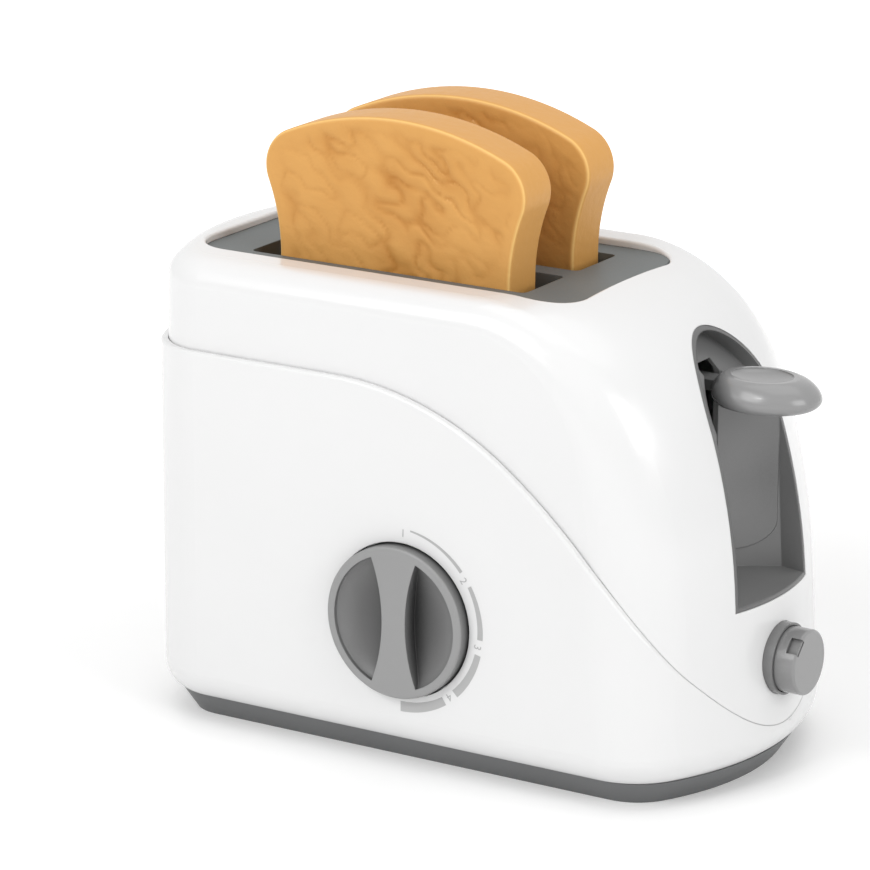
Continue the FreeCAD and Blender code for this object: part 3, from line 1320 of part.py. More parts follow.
timer_sheet("timer_front_plate", "-<front_left>", "<front_right>", "<front_low>", "<front_high>",
            "-<timer_front>", [(fx, fz, "<small_screw> + 0.2") for fx, fz in fixings])
timer_sheet("timer_back_plate", "-<back_left>", "<back_right>", "<back_low>", "<back_high>",
            "-<timer_back> - <timer_plate>", [])
node(fuse("pillar_set", [rod("pillar_%d" % i, "<pillar_radius>",
                             "<timer_front> - <timer_back> - 2 * <timer_plate>", px,
                             "-<timer_front> + <timer_plate>", pz, ALONG_Y)
                         for i, (px, pz) in enumerate(pillars)]), "timer_pillars")
node(fuse("timer_screw_set", [screw("timer_screw_%d" % i, fx, "-<timer_front> + <timer_plate>", fz,
                                    "<small_screw>", "<small_head>", "<small_head_tall>",
                                    "<casing_half> - <wall> / 2 - <timer_front> - 0.5", ALONG_Y)
                              for i, (fx, fz) in enumerate(fixings)]), "timer_screws")

# ---------------------------------------------------------------- dial knob
knob = doc.addObject("PartDesign::Body", "knob")
face_y = "<casing_half> + <knob_proud>"
disc = ring_sketch(knob, "XZ_Plane", "knob_disc", [("0", "0", "<knob_radius>")])
pad(knob, disc, "knob_pad", "%s - <knob_back>" % face_y, back=True)
inner = "<knob_radius> - <knob_rim>"


def scoop_sketch(side):
    """One bowl beside the grip: the grip is narrow in the middle and flares at its ends."""
    import Sketcher
    s = sketch_on(knob, "XZ_Plane", "scoop_%s" % ("left" if side < 0 else "right"))
    r = val("knob_radius") - val("knob_rim")
    end = val("grip_end_half")
    top = math.sqrt(r * r - end * end)
    mid = val("grip_half")
    sag = end - mid
    flank_r = (top * top + sag * sag) / (2 * sag)
    s.addGeometry(Part.ArcOfCircle(Part.Circle(V(0, 0, 0), V(0, 0, 1), r),
                                   -math.atan2(top, end), math.atan2(top, end)) if side > 0 else
                  Part.ArcOfCircle(Part.Circle(V(0, 0, 0), V(0, 0, 1), r),
                                   math.pi - math.atan2(top, end), math.pi + math.atan2(top, end)),
                  False)
    turn_by = math.asin(top / flank_r)
    hub = V(side * (mid + flank_r), 0, 0)
    if side > 0:
        s.addGeometry(Part.ArcOfCircle(Part.Circle(hub, V(0, 0, 1), flank_r),
                                       math.pi - turn_by, math.pi + turn_by), False)
    else:
        s.addGeometry(Part.ArcOfCircle(Part.Circle(hub, V(0, 0, 1), flank_r),
                                       -turn_by, turn_by), False)
    s.addConstraint(Sketcher.Constraint("Coincident", 0, 1, 1, 2))
    s.addConstraint(Sketcher.Constraint("Coincident", 0, 2, 1, 1))
    return s


for side in (-1, 1):
    hollow = pocket(knob, scoop_sketch(side), "scoop_pocket_%d" % (side + 1), "<scoop_deep>")
doc.recompute()
place(knob, "<dial_x>", "-(%s)" % face_y, "<dial_z>")
doc.recompute()
bowl = doc.addObject("Part::Ellipsoid", "scoop_bowl")
expr(bowl, "Radius1", "<knob_radius> - <knob_rim> + <scoop_lip>")
expr(bowl, "Radius2", "<knob_radius> - <knob_rim> + <scoop_lip>")
expr(bowl, "Radius3", "<scoop_deep>")
place(bowl, "<dial_x>", "-(%s)" % face_y, "<dial_z>")
bed_disc = rod("scoop_bed_disc", "<knob_radius> - <knob_rim> + <scoop_lip> / 2", "<scoop_deep>",
               "<dial_x>", "-(%s)" % face_y, "<dial_z>", ALONG_Y)
scoop_bed = cut("scoop_bed", bed_disc, [bowl])
bowled = fuse("knob_bowled", [knob, scoop_bed])
doc.recompute()
front_y = -(val("casing_half") + val("knob_proud"))
rim = [i + 1 for i, e in enumerate(bowled.Shape.Edges)
       if e.BoundBox.YMax < front_y + 1e-3 and e.BoundBox.ZLength > 1.9 * val("knob_radius")]
eased_knob = fillet("knob_eased", bowled, rim, val("knob_ease"))
hub = rod("knob_hub", "<hub_radius>", "<knob_back> - <timer_front> - 0.4", "<dial_x>", "-<knob_back>",
          "<dial_z>", ALONG_Y)
hub_bore = rod("hub_bore", "<spindle_radius> + <thread_gap>", "10", "<dial_x>",
               "-(%s)" % spindle_front, "<dial_z>", ALONG_Y)
node(cut("dial", fuse("knob_full", [eased_knob, hub]), [hub_bore]), "dial_knob")

# ---------------------------------------------------------------- stop button and catch
bezel = fuse("bezel_full", [
    rod("bezel_collar", "<bezel_radius>", "<bezel_face> - <bezel_step>", "<bezel_step>", "0",
        "<button_z>", ALONG_X),
    rod("bezel_drum", "<bezel_flange>", "<bezel_front> - <bezel_back>", "<bezel_back>", "0",
        "<button_z>", ALONG_X)])
bezel_cuts = [rod("bezel_bore", "<button_radius> + <bezel_gap>", "40", "<bezel_step> - 1", "0",
                  "<button_z>", ALONG_X),
              rod("bezel_drum_bore", "<bezel_bore>", "<bezel_step> - <bezel_back> - 1.5",
                  "<bezel_back> + 1.5", "0", "<button_z>", ALONG_X),
              rod("bezel_stem_hole", "<stem_radius> + <bezel_gap>", "10", "<bezel_back> - 5", "0",
                  "<button_z>", ALONG_X)]
node(cut("bezel", bezel, bezel_cuts), "button_collar")
cap = fuse("button_full", [
    rod("button_drum", "<button_radius>", "<button_face> - <button_tail>", "<button_tail>", "0",
        "<button_z>", ALONG_X),
    rod("button_stop", "<bezel_bore> - 0.3", "<bezel_step> - <button_tail> - 0.1", "<button_tail>",
        "0", "<button_z>", ALONG_X)])
cap_hollow = rod("button_hollow", "<button_radius> - <button_wall>",
                 "<button_face> - <button_wall> - <button_tail> + 1", "<button_tail> - 1", "0",
                 "<button_z>", ALONG_X)
cap_shell = cut("button_shell", cap, [cap_hollow])
notch = block("button_notch_block", "<button_face> - <notch_long>", "<button_face> + 5",
              "-<button_notch> / 2", "<button_notch> / 2", "0", "10")
notch_turn = FreeCAD.Rotation(V(1, 0, 0), 45)
notch.Placement = FreeCAD.Placement(notch.Placement.Base, notch_turn)
for axis, text in (("y", "-(<button_radius> - <notch_deep>) * sin(45 deg) - <button_notch> / 2 * cos(45 deg)"),
                   ("z", "<button_z> + (<button_radius> - <notch_deep>) * cos(45 deg)"
                         " - <button_notch> / 2 * sin(45 deg)")):
    expr(notch, "Placement.Base.%s" % axis, "(%s) * 1 mm" % text)
stem_from = "<catch_x> + <catch_thick> / 2 + 0.05"
stem_tip = "%s + <stem_radius>" % stem_from
stem = rod("button_stem", "<stem_radius>", "<button_face> - 1 - (%s)" % stem_tip, stem_tip, "0",
           "<button_z>", ALONG_X)
dome = doc.addObject("Part::Sphere", "button_stem_dome")
expr(dome, "Radius", "<stem_radius>")
place(dome, stem_tip, "0", "<button_z>")
cap_full = fuse("button_joined", [cap_shell, stem, dome])
doc.recompute()
rim = [i + 1 for i, e in enumerate(cap_full.Shape.Edges)
       if e.BoundBox.XMin > val("button_face") - 1e-3]
cap_eased = fillet("button_eased", cap_full, rim, val("button_rim"))
node(cut("button", cap_eased, [notch]), "stop_button")
pressed = val("button_face") - val("button_wall") - val("button_travel") - 0.2
node(coil("button_spring", val("stem_radius") + 1.6, val("button_coil"),
          pressed - val("bezel_back") - 1.5, val("button_coil_turns"),
          (val("bezel_back") + 1.5, 0, val("button_z")), ALONG_X), "button_spring")

catch = doc.addObject("PartDesign::Body", "catch")
nose_low = "<strike_low> + <strike_lip> - <travel> + <catch_gap> - <catch_z>"
half_thick = "<catch_thick> / 2"
catch_side = outline_sketch(catch, "XZ_Plane", "catch_outline", [
    ("-%s" % half_thick, "-<catch_foot>"), (half_thick, "-<catch_foot>"),
    (half_thick, nose_low), ("%s + <catch_nose>" % half_thick, nose_low),
    ("%s + 0.4 * <catch_nose>" % half_thick, "%s + <nose_tall>" % nose_low),
    ("-%s" % half_thick, "%s + <nose_tall>" % nose_low)])
pad(catch, catch_side, "catch_pad", "2 * <catch_half>", both=True)
place(catch, "<catch_x>", "0", "<catch_z>")
catch_drum = rod("catch_drum", "<catch_pin> + 1.6", "2 * <catch_half>", "<catch_x>", "-<catch_half>",
                 "<catch_z>", ALONG_Y)
catch_bore = rod("catch_bore", "<catch_pin> + <running_gap>", "40", "<catch_x>", "-20", "<catch_z>",
                 ALONG_Y)
node(cut("catch_lever", fuse("catch_full", [catch, catch_drum]), [catch_bore]), "latch_lever")
pin_half = "%s + <catch_ear>" % ear_y
node(rod("catch_axle", "<catch_pin>", "2 * (%s)" % pin_half, "<catch_x>", "-(%s)" % pin_half,
         "<catch_z>", ALONG_Y), "latch_pin")

# ---------------------------------------------------------------- screws
node(fuse("base_screw_set", [screw("base_screw_%d" % i, cx, cy, "<base_skin>", "<screw_radius>",
                                   "<screw_head>", "<screw_head_tall>",
                                   "%s - <base_skin> + <screw_long>" % base_top)
                             for i, (cx, cy) in enumerate(corners)]), "base_screws")
node(fuse("ear_screw_set", [screw("ear_screw_%d" % i, ex, ey, "<ear_low>", "<small_screw>",
                                  "<small_head>", "<small_head_tall>",
                                  "<ear_thick> + <small_long> - 2") for i, (ex, ey) in enumerate(ears)]),
     "chamber_screws")

# ---------------------------------------------------------------- check and export
doc.recompute()
os.makedirs("parts", exist_ok=True)
bad = []
for obj in doc.Objects:
    if "Invalid" in obj.State or "Error" in obj.State:
        bad.append("%s %s" % (obj.Name, obj.State))
for obj in PARTS:
    shape = obj.Shape
    if shape.isNull() or not shape.isValid() or shape.Volume <= 0:
        bad.append("%s has no sound shape" % obj.Label)
        continue
    shape.exportStep("parts/%s.step" % obj.Label)
    box = shape.BoundBox
    print("%-20s solids %d faces %3d  volume %9.1f  x %.1f..%.1f  y %.1f..%.1f  z %.1f..%.1f" % (
        obj.Label, len(shape.Solids), len(shape.Faces), shape.Volume, box.XMin, box.XMax,
        box.YMin, box.YMax, box.ZMin, box.ZMax))
print("pieces", len(PARTS))
if bad:
    raise RuntimeError("unsound: " + "; ".join(bad))
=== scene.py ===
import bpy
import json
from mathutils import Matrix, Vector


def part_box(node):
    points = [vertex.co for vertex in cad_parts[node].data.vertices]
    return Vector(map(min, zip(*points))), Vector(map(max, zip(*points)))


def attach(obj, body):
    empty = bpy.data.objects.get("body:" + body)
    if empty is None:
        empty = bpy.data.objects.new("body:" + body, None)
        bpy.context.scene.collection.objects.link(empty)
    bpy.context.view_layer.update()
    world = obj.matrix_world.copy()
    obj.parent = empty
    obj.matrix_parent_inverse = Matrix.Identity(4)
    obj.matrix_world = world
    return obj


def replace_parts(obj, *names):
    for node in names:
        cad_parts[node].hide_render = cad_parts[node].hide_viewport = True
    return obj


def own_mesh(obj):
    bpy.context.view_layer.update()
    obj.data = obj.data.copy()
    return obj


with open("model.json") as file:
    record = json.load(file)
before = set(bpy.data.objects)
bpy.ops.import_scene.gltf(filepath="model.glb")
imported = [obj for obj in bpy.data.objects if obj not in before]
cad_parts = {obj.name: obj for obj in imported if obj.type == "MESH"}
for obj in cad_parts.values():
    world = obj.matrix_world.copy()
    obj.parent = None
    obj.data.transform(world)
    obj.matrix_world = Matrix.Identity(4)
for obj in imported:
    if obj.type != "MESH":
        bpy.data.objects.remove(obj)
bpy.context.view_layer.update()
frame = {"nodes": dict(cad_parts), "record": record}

# %% [markdown]
# # A toy toaster, dressed for a render
# The frame holds every moulded, turned and bent piece of the toy, already in its place and on
# its moving body. What is left for Blender is the look: the finish of each plastic and metal,
# the wrinkles of the pretend toast, the print round the dial, and the light. A lesson in the
# order of the work follows. All lengths are in metres, and MM turns millimetres into them.

# %% Tools and units
import json
import math
import bmesh
import bpy
from mathutils import Matrix, Vector, kdtree, noise

MM = 0.001
nodes = frame["nodes"]
print("pieces in the frame:", len(nodes))

# %% [markdown]
# ## Where things are
# Nothing here is placed by a typed coordinate if a piece of the frame can say where it is. The
# dial's centre is the middle of the knob's box, and the print lies on the casing's front face,
# so both follow the frame if a size changes.

# %% The dial's centre and the front face
knob_low, knob_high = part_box("dial_knob")
DIAL = Vector(((knob_low.x + knob_high.x) / 2, 0, (knob_low.z + knob_high.z) / 2))
FRONT_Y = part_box("lower_casing")[0].y
print("dial centre, mm:", [round(v / MM, 1) for v in DIAL], "front at", round(FRONT_Y / MM, 1))

# %% [markdown]
# ## Building materials from code
# Every finish starts as the same thing: a material with one Principled shader whose colour and
# roughness are plain values. Three helpers keep the later cells short. The first makes such a
# material, the second adds a node to any tree and fills in its sockets or its settings by name,
# and the third puts a mesh, a lamp or a camera in the scene.

# %% Three helpers
def new_material(name, colour, roughness):
    """A material with one Principled shader, its node tree and the shader itself."""
    m = bpy.data.materials.new(name)
    m.use_nodes = True
    shader = m.node_tree.nodes["Principled BSDF"]
    shader.inputs["Base Color"].default_value = (*colour, 1)
    shader.inputs["Roughness"].default_value = roughness
    return m, m.node_tree, shader


def add(tree, kind, **values):
    """A new node; an underscore in a socket's name stands for a space."""
    n = tree.nodes.new(kind)
    for key, value in values.items():
        name = key.replace("_", " ")
        if name in n.inputs:
            n.inputs[name].default_value = value
        else:
            setattr(n, key, value)
    return n


def show(name, data):
    """An object in the scene that carries the given mesh, lamp or camera."""
    obj = bpy.data.objects.new(name, data)
    bpy.context.scene.collection.objects.link(obj)
    return obj


print("helpers: new_material, add, show")

# %% [markdown]
# ## Effects that several finishes share
# Real plastic is never one flat colour: the pigment drifts a little, the polish of the mould
# leaves a fine grain in the gloss, and no edge is a perfect knife. Each of these effects is a
# node group with named sockets. A group is built once and placed in each material with its own
# numbers, which is easier to read and to change than a copy of the nodes in every material.

# %% Helpers for node groups
def new_group(name, takes, gives):
    """A shader group; takes and gives list (socket name, kind, default)."""
    tree = bpy.data.node_groups.new(name, "ShaderNodeTree")
    for way, sockets in (("INPUT", takes), ("OUTPUT", gives)):
        for label, kind, default in sockets:
            socket = tree.interface.new_socket(label, in_out=way, socket_type="NodeSocket" + kind)
            if default is not None:
                socket.default_value = default
    return tree, add(tree, "NodeGroupInput").outputs, add(tree, "NodeGroupOutput").inputs


def place(tree, group, **values):
    """Put a group in a material and fill in its sockets."""
    n = add(tree, "ShaderNodeGroup", node_tree=group)
    for key, value in values.items():
        n.inputs[key.replace("_", " ")].default_value = value
    return n


def noise_in(tree, took, detail):
    """Noise fixed to the piece, with scale and stretch from the group's own sockets."""
    where = add(tree, "ShaderNodeTexCoord")
    fit = add(tree, "ShaderNodeMapping")
    tree.links.new(where.outputs["Object"], fit.inputs["Vector"])
    tree.links.new(took["Stretch"], fit.inputs["Scale"])
    pattern = add(tree, "ShaderNodeTexNoise", Detail=detail)
    tree.links.new(fit.outputs["Vector"], pattern.inputs["Vector"])
    tree.links.new(took["Scale"], pattern.inputs["Scale"])
    return pattern.outputs["Fac"]


def mix(tree, share, first, second, blend="MIX"):
    """Two colours in one; each input is a socket or a value."""
    n = add(tree, "ShaderNodeMix", data_type="RGBA", blend_type=blend)
    for i, value in ((0, share), (6, first), (7, second)):
        if isinstance(value, bpy.types.NodeSocket):
            tree.links.new(value, n.inputs[i])
        else:
            n.inputs[i].default_value = value
    return n.outputs[2]


STRETCH = ("Stretch", "Vector", (1.0, 1.0, 1.0))
print("helpers: new_group, place, noise_in, mix")

# %% [markdown]
# ### Pigment drift
# The base colour wanders between a dark and a light tone. Mapping the middle of the noise to the
# whole range keeps both tones in sight, where the raw noise would stay near the average.

# %% The pigment group
pigment, took, give = new_group(
    "pigment_drift",
    [("Dark", "Color", None), ("Light", "Color", None), ("Scale", "Float", 18.0), STRETCH],
    [("Color", "Color", None)])
spread = add(pigment, "ShaderNodeMapRange", From_Min=0.35, From_Max=0.65)
pigment.links.new(noise_in(pigment, took, 2.0), spread.inputs["Value"])
wandering = mix(pigment, spread.outputs["Result"], took["Dark"], took["Light"])
pigment.links.new(wandering, give["Color"])
print("group:", pigment.name)

# %% [markdown]
# ### Grain in the gloss
# A moulded face shines a little unevenly. Only the roughness changes, between two given values,
# so the colour stays clean.

# %% The grain group
gloss_grain, took, give = new_group(
    "gloss_grain",
    [("Smooth", "Float", 0.3), ("Coarse", "Float", 0.4), ("Scale", "Float", 900.0), STRETCH],
    [("Roughness", "Float", None)])
spread = add(gloss_grain, "ShaderNodeMapRange")
gloss_grain.links.new(noise_in(gloss_grain, took, 3.0), spread.inputs["Value"])
gloss_grain.links.new(took["Smooth"], spread.inputs["To Min"])
gloss_grain.links.new(took["Coarse"], spread.inputs["To Max"])
gloss_grain.links.new(spread.outputs["Result"], give["Roughness"])
print("group:", gloss_grain.name)

# %% [markdown]
# ### Fine relief over eased edges
# A Bevel node turns the normals near an edge, so each edge catches a thin line of light as a
# moulded one does, and a Bump node lays a relief of some hundredths of a millimetre over it.

# %% The relief group
relief, took, give = new_group(
    "fine_relief",
    [("Depth", "Float", 0.00001), ("Edge", "Float", 0.0004), ("Scale", "Float", 900.0), STRETCH],
    [("Normal", "Vector", None)])
eased = add(relief, "ShaderNodeBevel", samples=4)
relief.links.new(took["Edge"], eased.inputs["Radius"])
bump = add(relief, "ShaderNodeBump", Strength=1.0)
relief.links.new(noise_in(relief, took, 5.0), bump.inputs["Height"])
relief.links.new(took["Depth"], bump.inputs["Distance"])
relief.links.new(eased.outputs["Normal"], bump.inputs["Normal"])
relief.links.new(bump.outputs["Normal"], give["Normal"])
print("group:", relief.name)

# %% [markdown]
# ### Painted shade in the recesses
# The inside of a recess gets less light than its brim, and this shade is painted into the colour.
# Ambient occlusion measures how closed in each point is, and the group multiplies the colour by
# it.

# %% The painted recess shade group
painted_shade_group, took, give = new_group(
    "painted_recess_shade",
    [("Color", "Color", None), ("Reach", "Float", 0.012), ("Shut", "Float", 0.45),
     ("Free", "Float", 0.97), ("Least", "Float", 0.4)],
    [("Color", "Color", None)])
# Painted shade: ambient occlusion darkens the colour in closed-in places.
closed = add(painted_shade_group, "ShaderNodeAmbientOcclusion", samples=8)
painted_shade_group.links.new(took["Reach"], closed.inputs["Distance"])
fade = add(painted_shade_group, "ShaderNodeMapRange", To_Max=1.0)
painted_shade_group.links.new(closed.outputs["AO"], fade.inputs["Value"])
for label, socket in (("Shut", "From Min"), ("Free", "From Max"), ("Least", "To Min")):
    painted_shade_group.links.new(took[label], fade.inputs[socket])
shaded = mix(painted_shade_group, 1.0, took["Color"], fade.outputs["Result"], blend="MULTIPLY")
painted_shade_group.links.new(shaded, give["Color"])
print("group:", painted_shade_group.name)

# %% [markdown]
# ## Moulded plastic
# All the hard plastics of the toy share one recipe: pigment drift into the base colour, grain
# into the roughness, relief into the normal. What tells them apart is the colour, the gloss, a
# clear coat on polished faces and painted recess shade on pieces with hollows.

# %% The recipe for plastic
def moulded(name, colour, roughness, drift=0.03, grain=900.0, depth=0.00001, edge=0.0004,
            coat=0.0, specular=0.5):
    """One plastic; drift is how much darker the pigment gets, depth and edge are lengths."""
    m, tree, shader = new_material(name, colour, roughness)
    dark = [c * (1 - drift) for c in colour]
    tint = place(tree, pigment, Dark=(*dark, 1), Light=(*colour, 1))
    tree.links.new(tint.outputs["Color"], shader.inputs["Base Color"])
    gloss = place(tree, gloss_grain, Smooth=roughness * 0.9, Coarse=roughness * 1.1, Scale=grain)
    tree.links.new(gloss.outputs["Roughness"], shader.inputs["Roughness"])
    skin = place(tree, relief, Depth=depth, Edge=edge, Scale=grain)
    tree.links.new(skin.outputs["Normal"], shader.inputs["Normal"])
    shader.inputs["Specular IOR Level"].default_value = specular
    shader.inputs["Coat Weight"].default_value = coat
    shader.inputs["Coat Roughness"].default_value = 0.08
    return m


def paint_recess_shade(m, **values):
    """Lay painted recess shade over whatever feeds the base colour."""
    tree = m.node_tree
    base_colour = tree.nodes["Principled BSDF"].inputs["Base Color"]
    before = base_colour.links[0].from_socket
    # Painted shade from the ambient occlusion group goes into the base colour.
    painted_shade = place(tree, painted_shade_group, **values)
    tree.links.new(before, painted_shade.inputs["Color"])
    tree.links.new(painted_shade.outputs["Color"], base_colour)


print("helpers: moulded, paint_recess_shade")

# %% [markdown]
# ### The white casing
# The two shells are polished white plastic. White is kept at 0.8, as a real white plastic throws
# back about four fifths of the light, and a thin clear coat gives the crisp gleam on the corner.

# %% White
white = moulded("gloss_white", (0.80, 0.80, 0.80), 0.22, drift=0.01, grain=500.0,
                depth=0.000002, coat=0.3)
print("white:", white.name)

# %% [markdown]
# ### Trim, base and the inside
# The insert round the two slots is a satin slate grey, slightly green. The base is darker and
# rougher. The toast chamber is black plastic, so that the slots look deep.

# %% Satin greys and black
slate = moulded("slate_trim", (0.15, 0.163, 0.163), 0.5, drift=0.05, grain=1500.0, edge=0.0005,
                specular=0.25)
base = moulded("base_grey", (0.135, 0.138, 0.14), 0.5, drift=0.06, grain=2200.0, depth=0.00002)
inner = moulded("inner_black", (0.03, 0.03, 0.032), 0.5, drift=0.1, grain=1800.0, edge=0.0003)
acetal = moulded("gear_acetal", (0.78, 0.75, 0.66), 0.35, drift=0.05, grain=1500.0, edge=0.0002)
print("satin finishes:", slate.name, base.name, inner.name, acetal.name)

# %% [markdown]
# ### Handle, button and recess
# The controls are a smooth mid grey with a clear gleam, with painted shade in their hollows. The
# lever's recess is the same plastic with less polish, and its colour carries painted light and
# shade turned round: darkest at the open rim, lightest where the recess closes in.

# %% Glossy greys
control = moulded("grey_control", (0.27, 0.27, 0.27), 0.24, drift=0.04, grain=1500.0,
                  edge=0.0005, coat=0.3)
# Painted shade in the hollows of the handle and button.
paint_recess_shade(control, Reach=0.012, Least=0.4)
well = moulded("well_grey", (0.23, 0.23, 0.23), 0.42, drift=0.04, grain=1500.0, edge=0.0005)
# Painted light and shade, turned round: darkest at the open rim, full colour where it closes in.
paint_recess_shade(well, Reach=0.03, Shut=0.97, Free=0.82, Least=0.55)
print("control finishes:", control.name, well.name)

# %% [markdown]
# ### The dial knob
# The knob is cast with two scoops that leave a grip bar. They look almost black from the front,
# because little light gets in. The painted recess shade alone is too soft for that, so more shade
# is painted along the piece's own depth: the colour darkens from just behind the front face.

# %% The knob's finish
knob_grey = moulded("knob_grey", (0.30, 0.30, 0.30), 0.34, drift=0.04, grain=1500.0, edge=0.0005)
paint_recess_shade(knob_grey, Reach=0.012, Least=0.4)
tree = knob_grey.node_tree
colour_in = tree.nodes["Principled BSDF"].inputs["Base Color"]
lit = colour_in.links[0].from_socket
# Painted shade: the colour falls to a tenth over SCOOP_REACH of depth into the scoops.
split = add(tree, "ShaderNodeSeparateXYZ")
tree.links.new(add(tree, "ShaderNodeTexCoord").outputs["Object"], split.inputs["Vector"])
START = knob_low.y + 0.4 * MM
SCOOP_REACH = 6 * MM
fade = add(tree, "ShaderNodeMapRange", From_Min=START, From_Max=START + SCOOP_REACH,
           To_Min=1.0, To_Max=0.1)
tree.links.new(split.outputs["Y"], fade.inputs["Value"])
tree.links.new(mix(tree, 1.0, lit, fade.outputs["Result"], blend="MULTIPLY"), colour_in)
print("knob darkens from y", round(START / MM, 1), "mm")

# %% [markdown]
# ## Metal inside
# Springs, rods, plates and screws are bare metal. A fully metallic shader with a brushed tone is
# enough: the noise is stretched along the way the metal was drawn, rolled or turned.

# %% Four metals
STREAK_DARK = 0.85
STREAK_SCALE = 300.0
POLISH_SCALE = 700.0


def metal(name, colour, roughness, stretch):
    """One bare metal; the streaks run along the axis with the smallest stretch."""
    m, tree, shader = new_material(name, colour, roughness)
    shader.inputs["Metallic"].default_value = 1.0
    dark = [c * STREAK_DARK for c in colour]
    tint = place(tree, pigment, Dark=(*dark, 1), Light=(*colour, 1), Scale=STREAK_SCALE,
                 Stretch=stretch)
    tree.links.new(tint.outputs["Color"], shader.inputs["Base Color"])
    gloss = place(tree, gloss_grain, Smooth=roughness * 0.7, Coarse=roughness * 1.3,
                  Scale=POLISH_SCALE)
    tree.links.new(gloss.outputs["Roughness"], shader.inputs["Roughness"])
    return m


spring_steel = metal("spring_steel", (0.55, 0.55, 0.56), 0.28, (1, 1, 14))
rod_steel = metal("rod_steel", (0.60, 0.60, 0.61), 0.22, (14, 14, 1))
plate_steel = metal("plate_steel", (0.52, 0.52, 0.54), 0.34, (1, 20, 20))
zinc = metal("screw_zinc", (0.46, 0.45, 0.42), 0.40, (6, 6, 6))
print("metals:", spring_steel.name, rod_steel.name, plate_steel.name, zinc.name)

# %% [markdown]
# ## The pretend toast
# The slices are soft plastic, blown in a mould whose two flat faces carry wrinkles like those of
# a baked crust. The wrinkles are shallow, but light rakes over them, so they are modelled: each
# flat face is cut into a fine grid and its points are pushed in along creases. The cutting starts
# from the frame's slice, so the outline and the round rim stay as they are.
#
# A crease is where a noise crosses zero, which gives thin winding lines. A second, slower noise
# lets them come and go, and near the rim they fade out, as they do on the real mould. The
# creases lean, run longer one way than the other, and wander off their line. Most of the depth is
# in the lines, and the rest is a soft swell between them. The seed is set because the wander
# would otherwise start from the clock, and every run would give another slice.

# %% Where the creases run
CREASE_SIZE = 6.8 * MM
PATCH_SIZE = 26 * MM
LEAN = Matrix.Rotation(math.radians(-32), 3, "Y")
ALONG = 0.62
ACROSS = 1.25
WANDER = 0.45
THIN = 3.2
LINE_SHARE = 0.6
SWELL_SHARE = 0.4
PATCH_LEAST = 0.4
ELSEWHERE = Vector((7, 3, 5))
SEED = 3
noise.seed_set(SEED)


def crease(point):
    """How deep a crease is at a point of a face, from 0 to 1."""
    q = LEAN @ point
    q = Vector((q.x * ALONG, q.y, q.z * ACROSS)) / CREASE_SIZE
    q += WANDER * noise.noise_vector(point / CREASE_SIZE)
    line = max(0.0, 1 - abs(noise.noise(q)) * THIN)
    swell = 0.5 - 0.9 * noise.noise(q * 0.8 + ELSEWHERE)
    patch = 0.5 + 1.6 * noise.noise(point / PATCH_SIZE)
    depth = LINE_SHARE * line * line + SWELL_SHARE * swell
    return min(1.0, max(0.0, depth * min(1.0, max(PATCH_LEAST, patch))))


print("crease at the slice's middle:", round(crease(Vector((0, -0.02, 0.14))), 2))

# %% [markdown]
# ### Cutting the faces and pressing the creases in
# Bisecting only the faces that point along Y leaves the rim's own faces joined to the grid. The
# depth of the crease is kept on each point as an attribute, which the material then reads.

# %% Wrinkled slices
GRID = 1.0 * MM
CREASE_DEEP = 0.85 * MM
RIM_FADE = 5 * MM
FLAT = 0.999
SNAP = 0.01 * MM
SAME_POINT = 0.001 * MM


def is_flat(face):
    """Whether a face belongs to one of the slice's two flat sides."""
    return abs(face.normal.y) > FLAT


def cut_faces(cut, low, high):
    """Cut the two flat sides into squares of GRID, along X and then along Z."""
    for axis in (0, 2):
        across = Vector([float(i == axis) for i in range(3)])
        for i in range(1, int((high[axis] - low[axis]) / GRID) + 1):
            flat = [f for f in cut.faces if is_flat(f)]
            edges = dict.fromkeys(e for f in flat for e in f.edges)
            ends = dict.fromkeys(v for e in edges for v in e.verts)
            bmesh.ops.bisect_plane(cut, geom=[*ends, *edges, *flat], dist=SNAP,
                                   plane_co=across * (low[axis] + i * GRID), plane_no=across)


def wrinkled(name, source, body):
    """A copy of a slice of the frame with creased faces, in its place and on its body."""
    cut = bmesh.new()
    cut.from_mesh(nodes[source].data)
    depth = cut.verts.layers.float.new("crease")
    bmesh.ops.remove_doubles(cut, verts=cut.verts, dist=SAME_POINT)
    cut.normal_update()
    cut_faces(cut, *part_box(source))
    inner = [v for v in cut.verts if all(is_flat(f) for f in v.link_faces)]
    inside = set(inner)
    border = [v for v in cut.verts if v not in inside]
    rim = kdtree.KDTree(len(border))
    for i, v in enumerate(border):
        rim.insert(v.co, i)
    rim.balance()
    for v in inner:
        fade = min(1.0, rim.find(v.co)[2] / RIM_FADE)
        v[depth] = crease(v.co) * fade * fade * (3 - 2 * fade)
    pushed = [(v, v.co - v.normal * (v[depth] * CREASE_DEEP)) for v in inner]
    for v, pressed_in in pushed:
        v.co = pressed_in
    mesh = bpy.data.meshes.new(name)
    cut.to_mesh(mesh)
    cut.free()
    mesh.polygons.foreach_set("use_smooth", [True] * len(mesh.polygons))
    obj = show(name, mesh)
    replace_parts(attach(obj, body), source)
    return obj


slices = [wrinkled("toast_front_wrinkled", "toast_front", "front_slice"),
          wrinkled("toast_rear_wrinkled", "toast_rear", "rear_slice")]
print("faces per slice:", [len(s.data.polygons) for s in slices])

# %% [markdown]
# ### The toast's colour
# The creases get painted shade, and the rounded rim between face and crust gets a painted
# highlight: there the normal is half way between Y and the side, so a peak at that value finds it.
# A faint, finer wrinkle is left to a bump, because it is thinner than the grid.

# %% Sums on sockets
def calc(tree, operation, first, second=None, clamp=False):
    """One arithmetic node; each input is a socket or a number."""
    n = add(tree, "ShaderNodeMath", operation=operation, use_clamp=clamp)
    for i, value in enumerate((first, second)):
        if isinstance(value, (int, float)):
            n.inputs[i].default_value = value
        elif value is not None:
            tree.links.new(value, n.inputs[i])
    return n.outputs["Value"]


print("helper: calc")

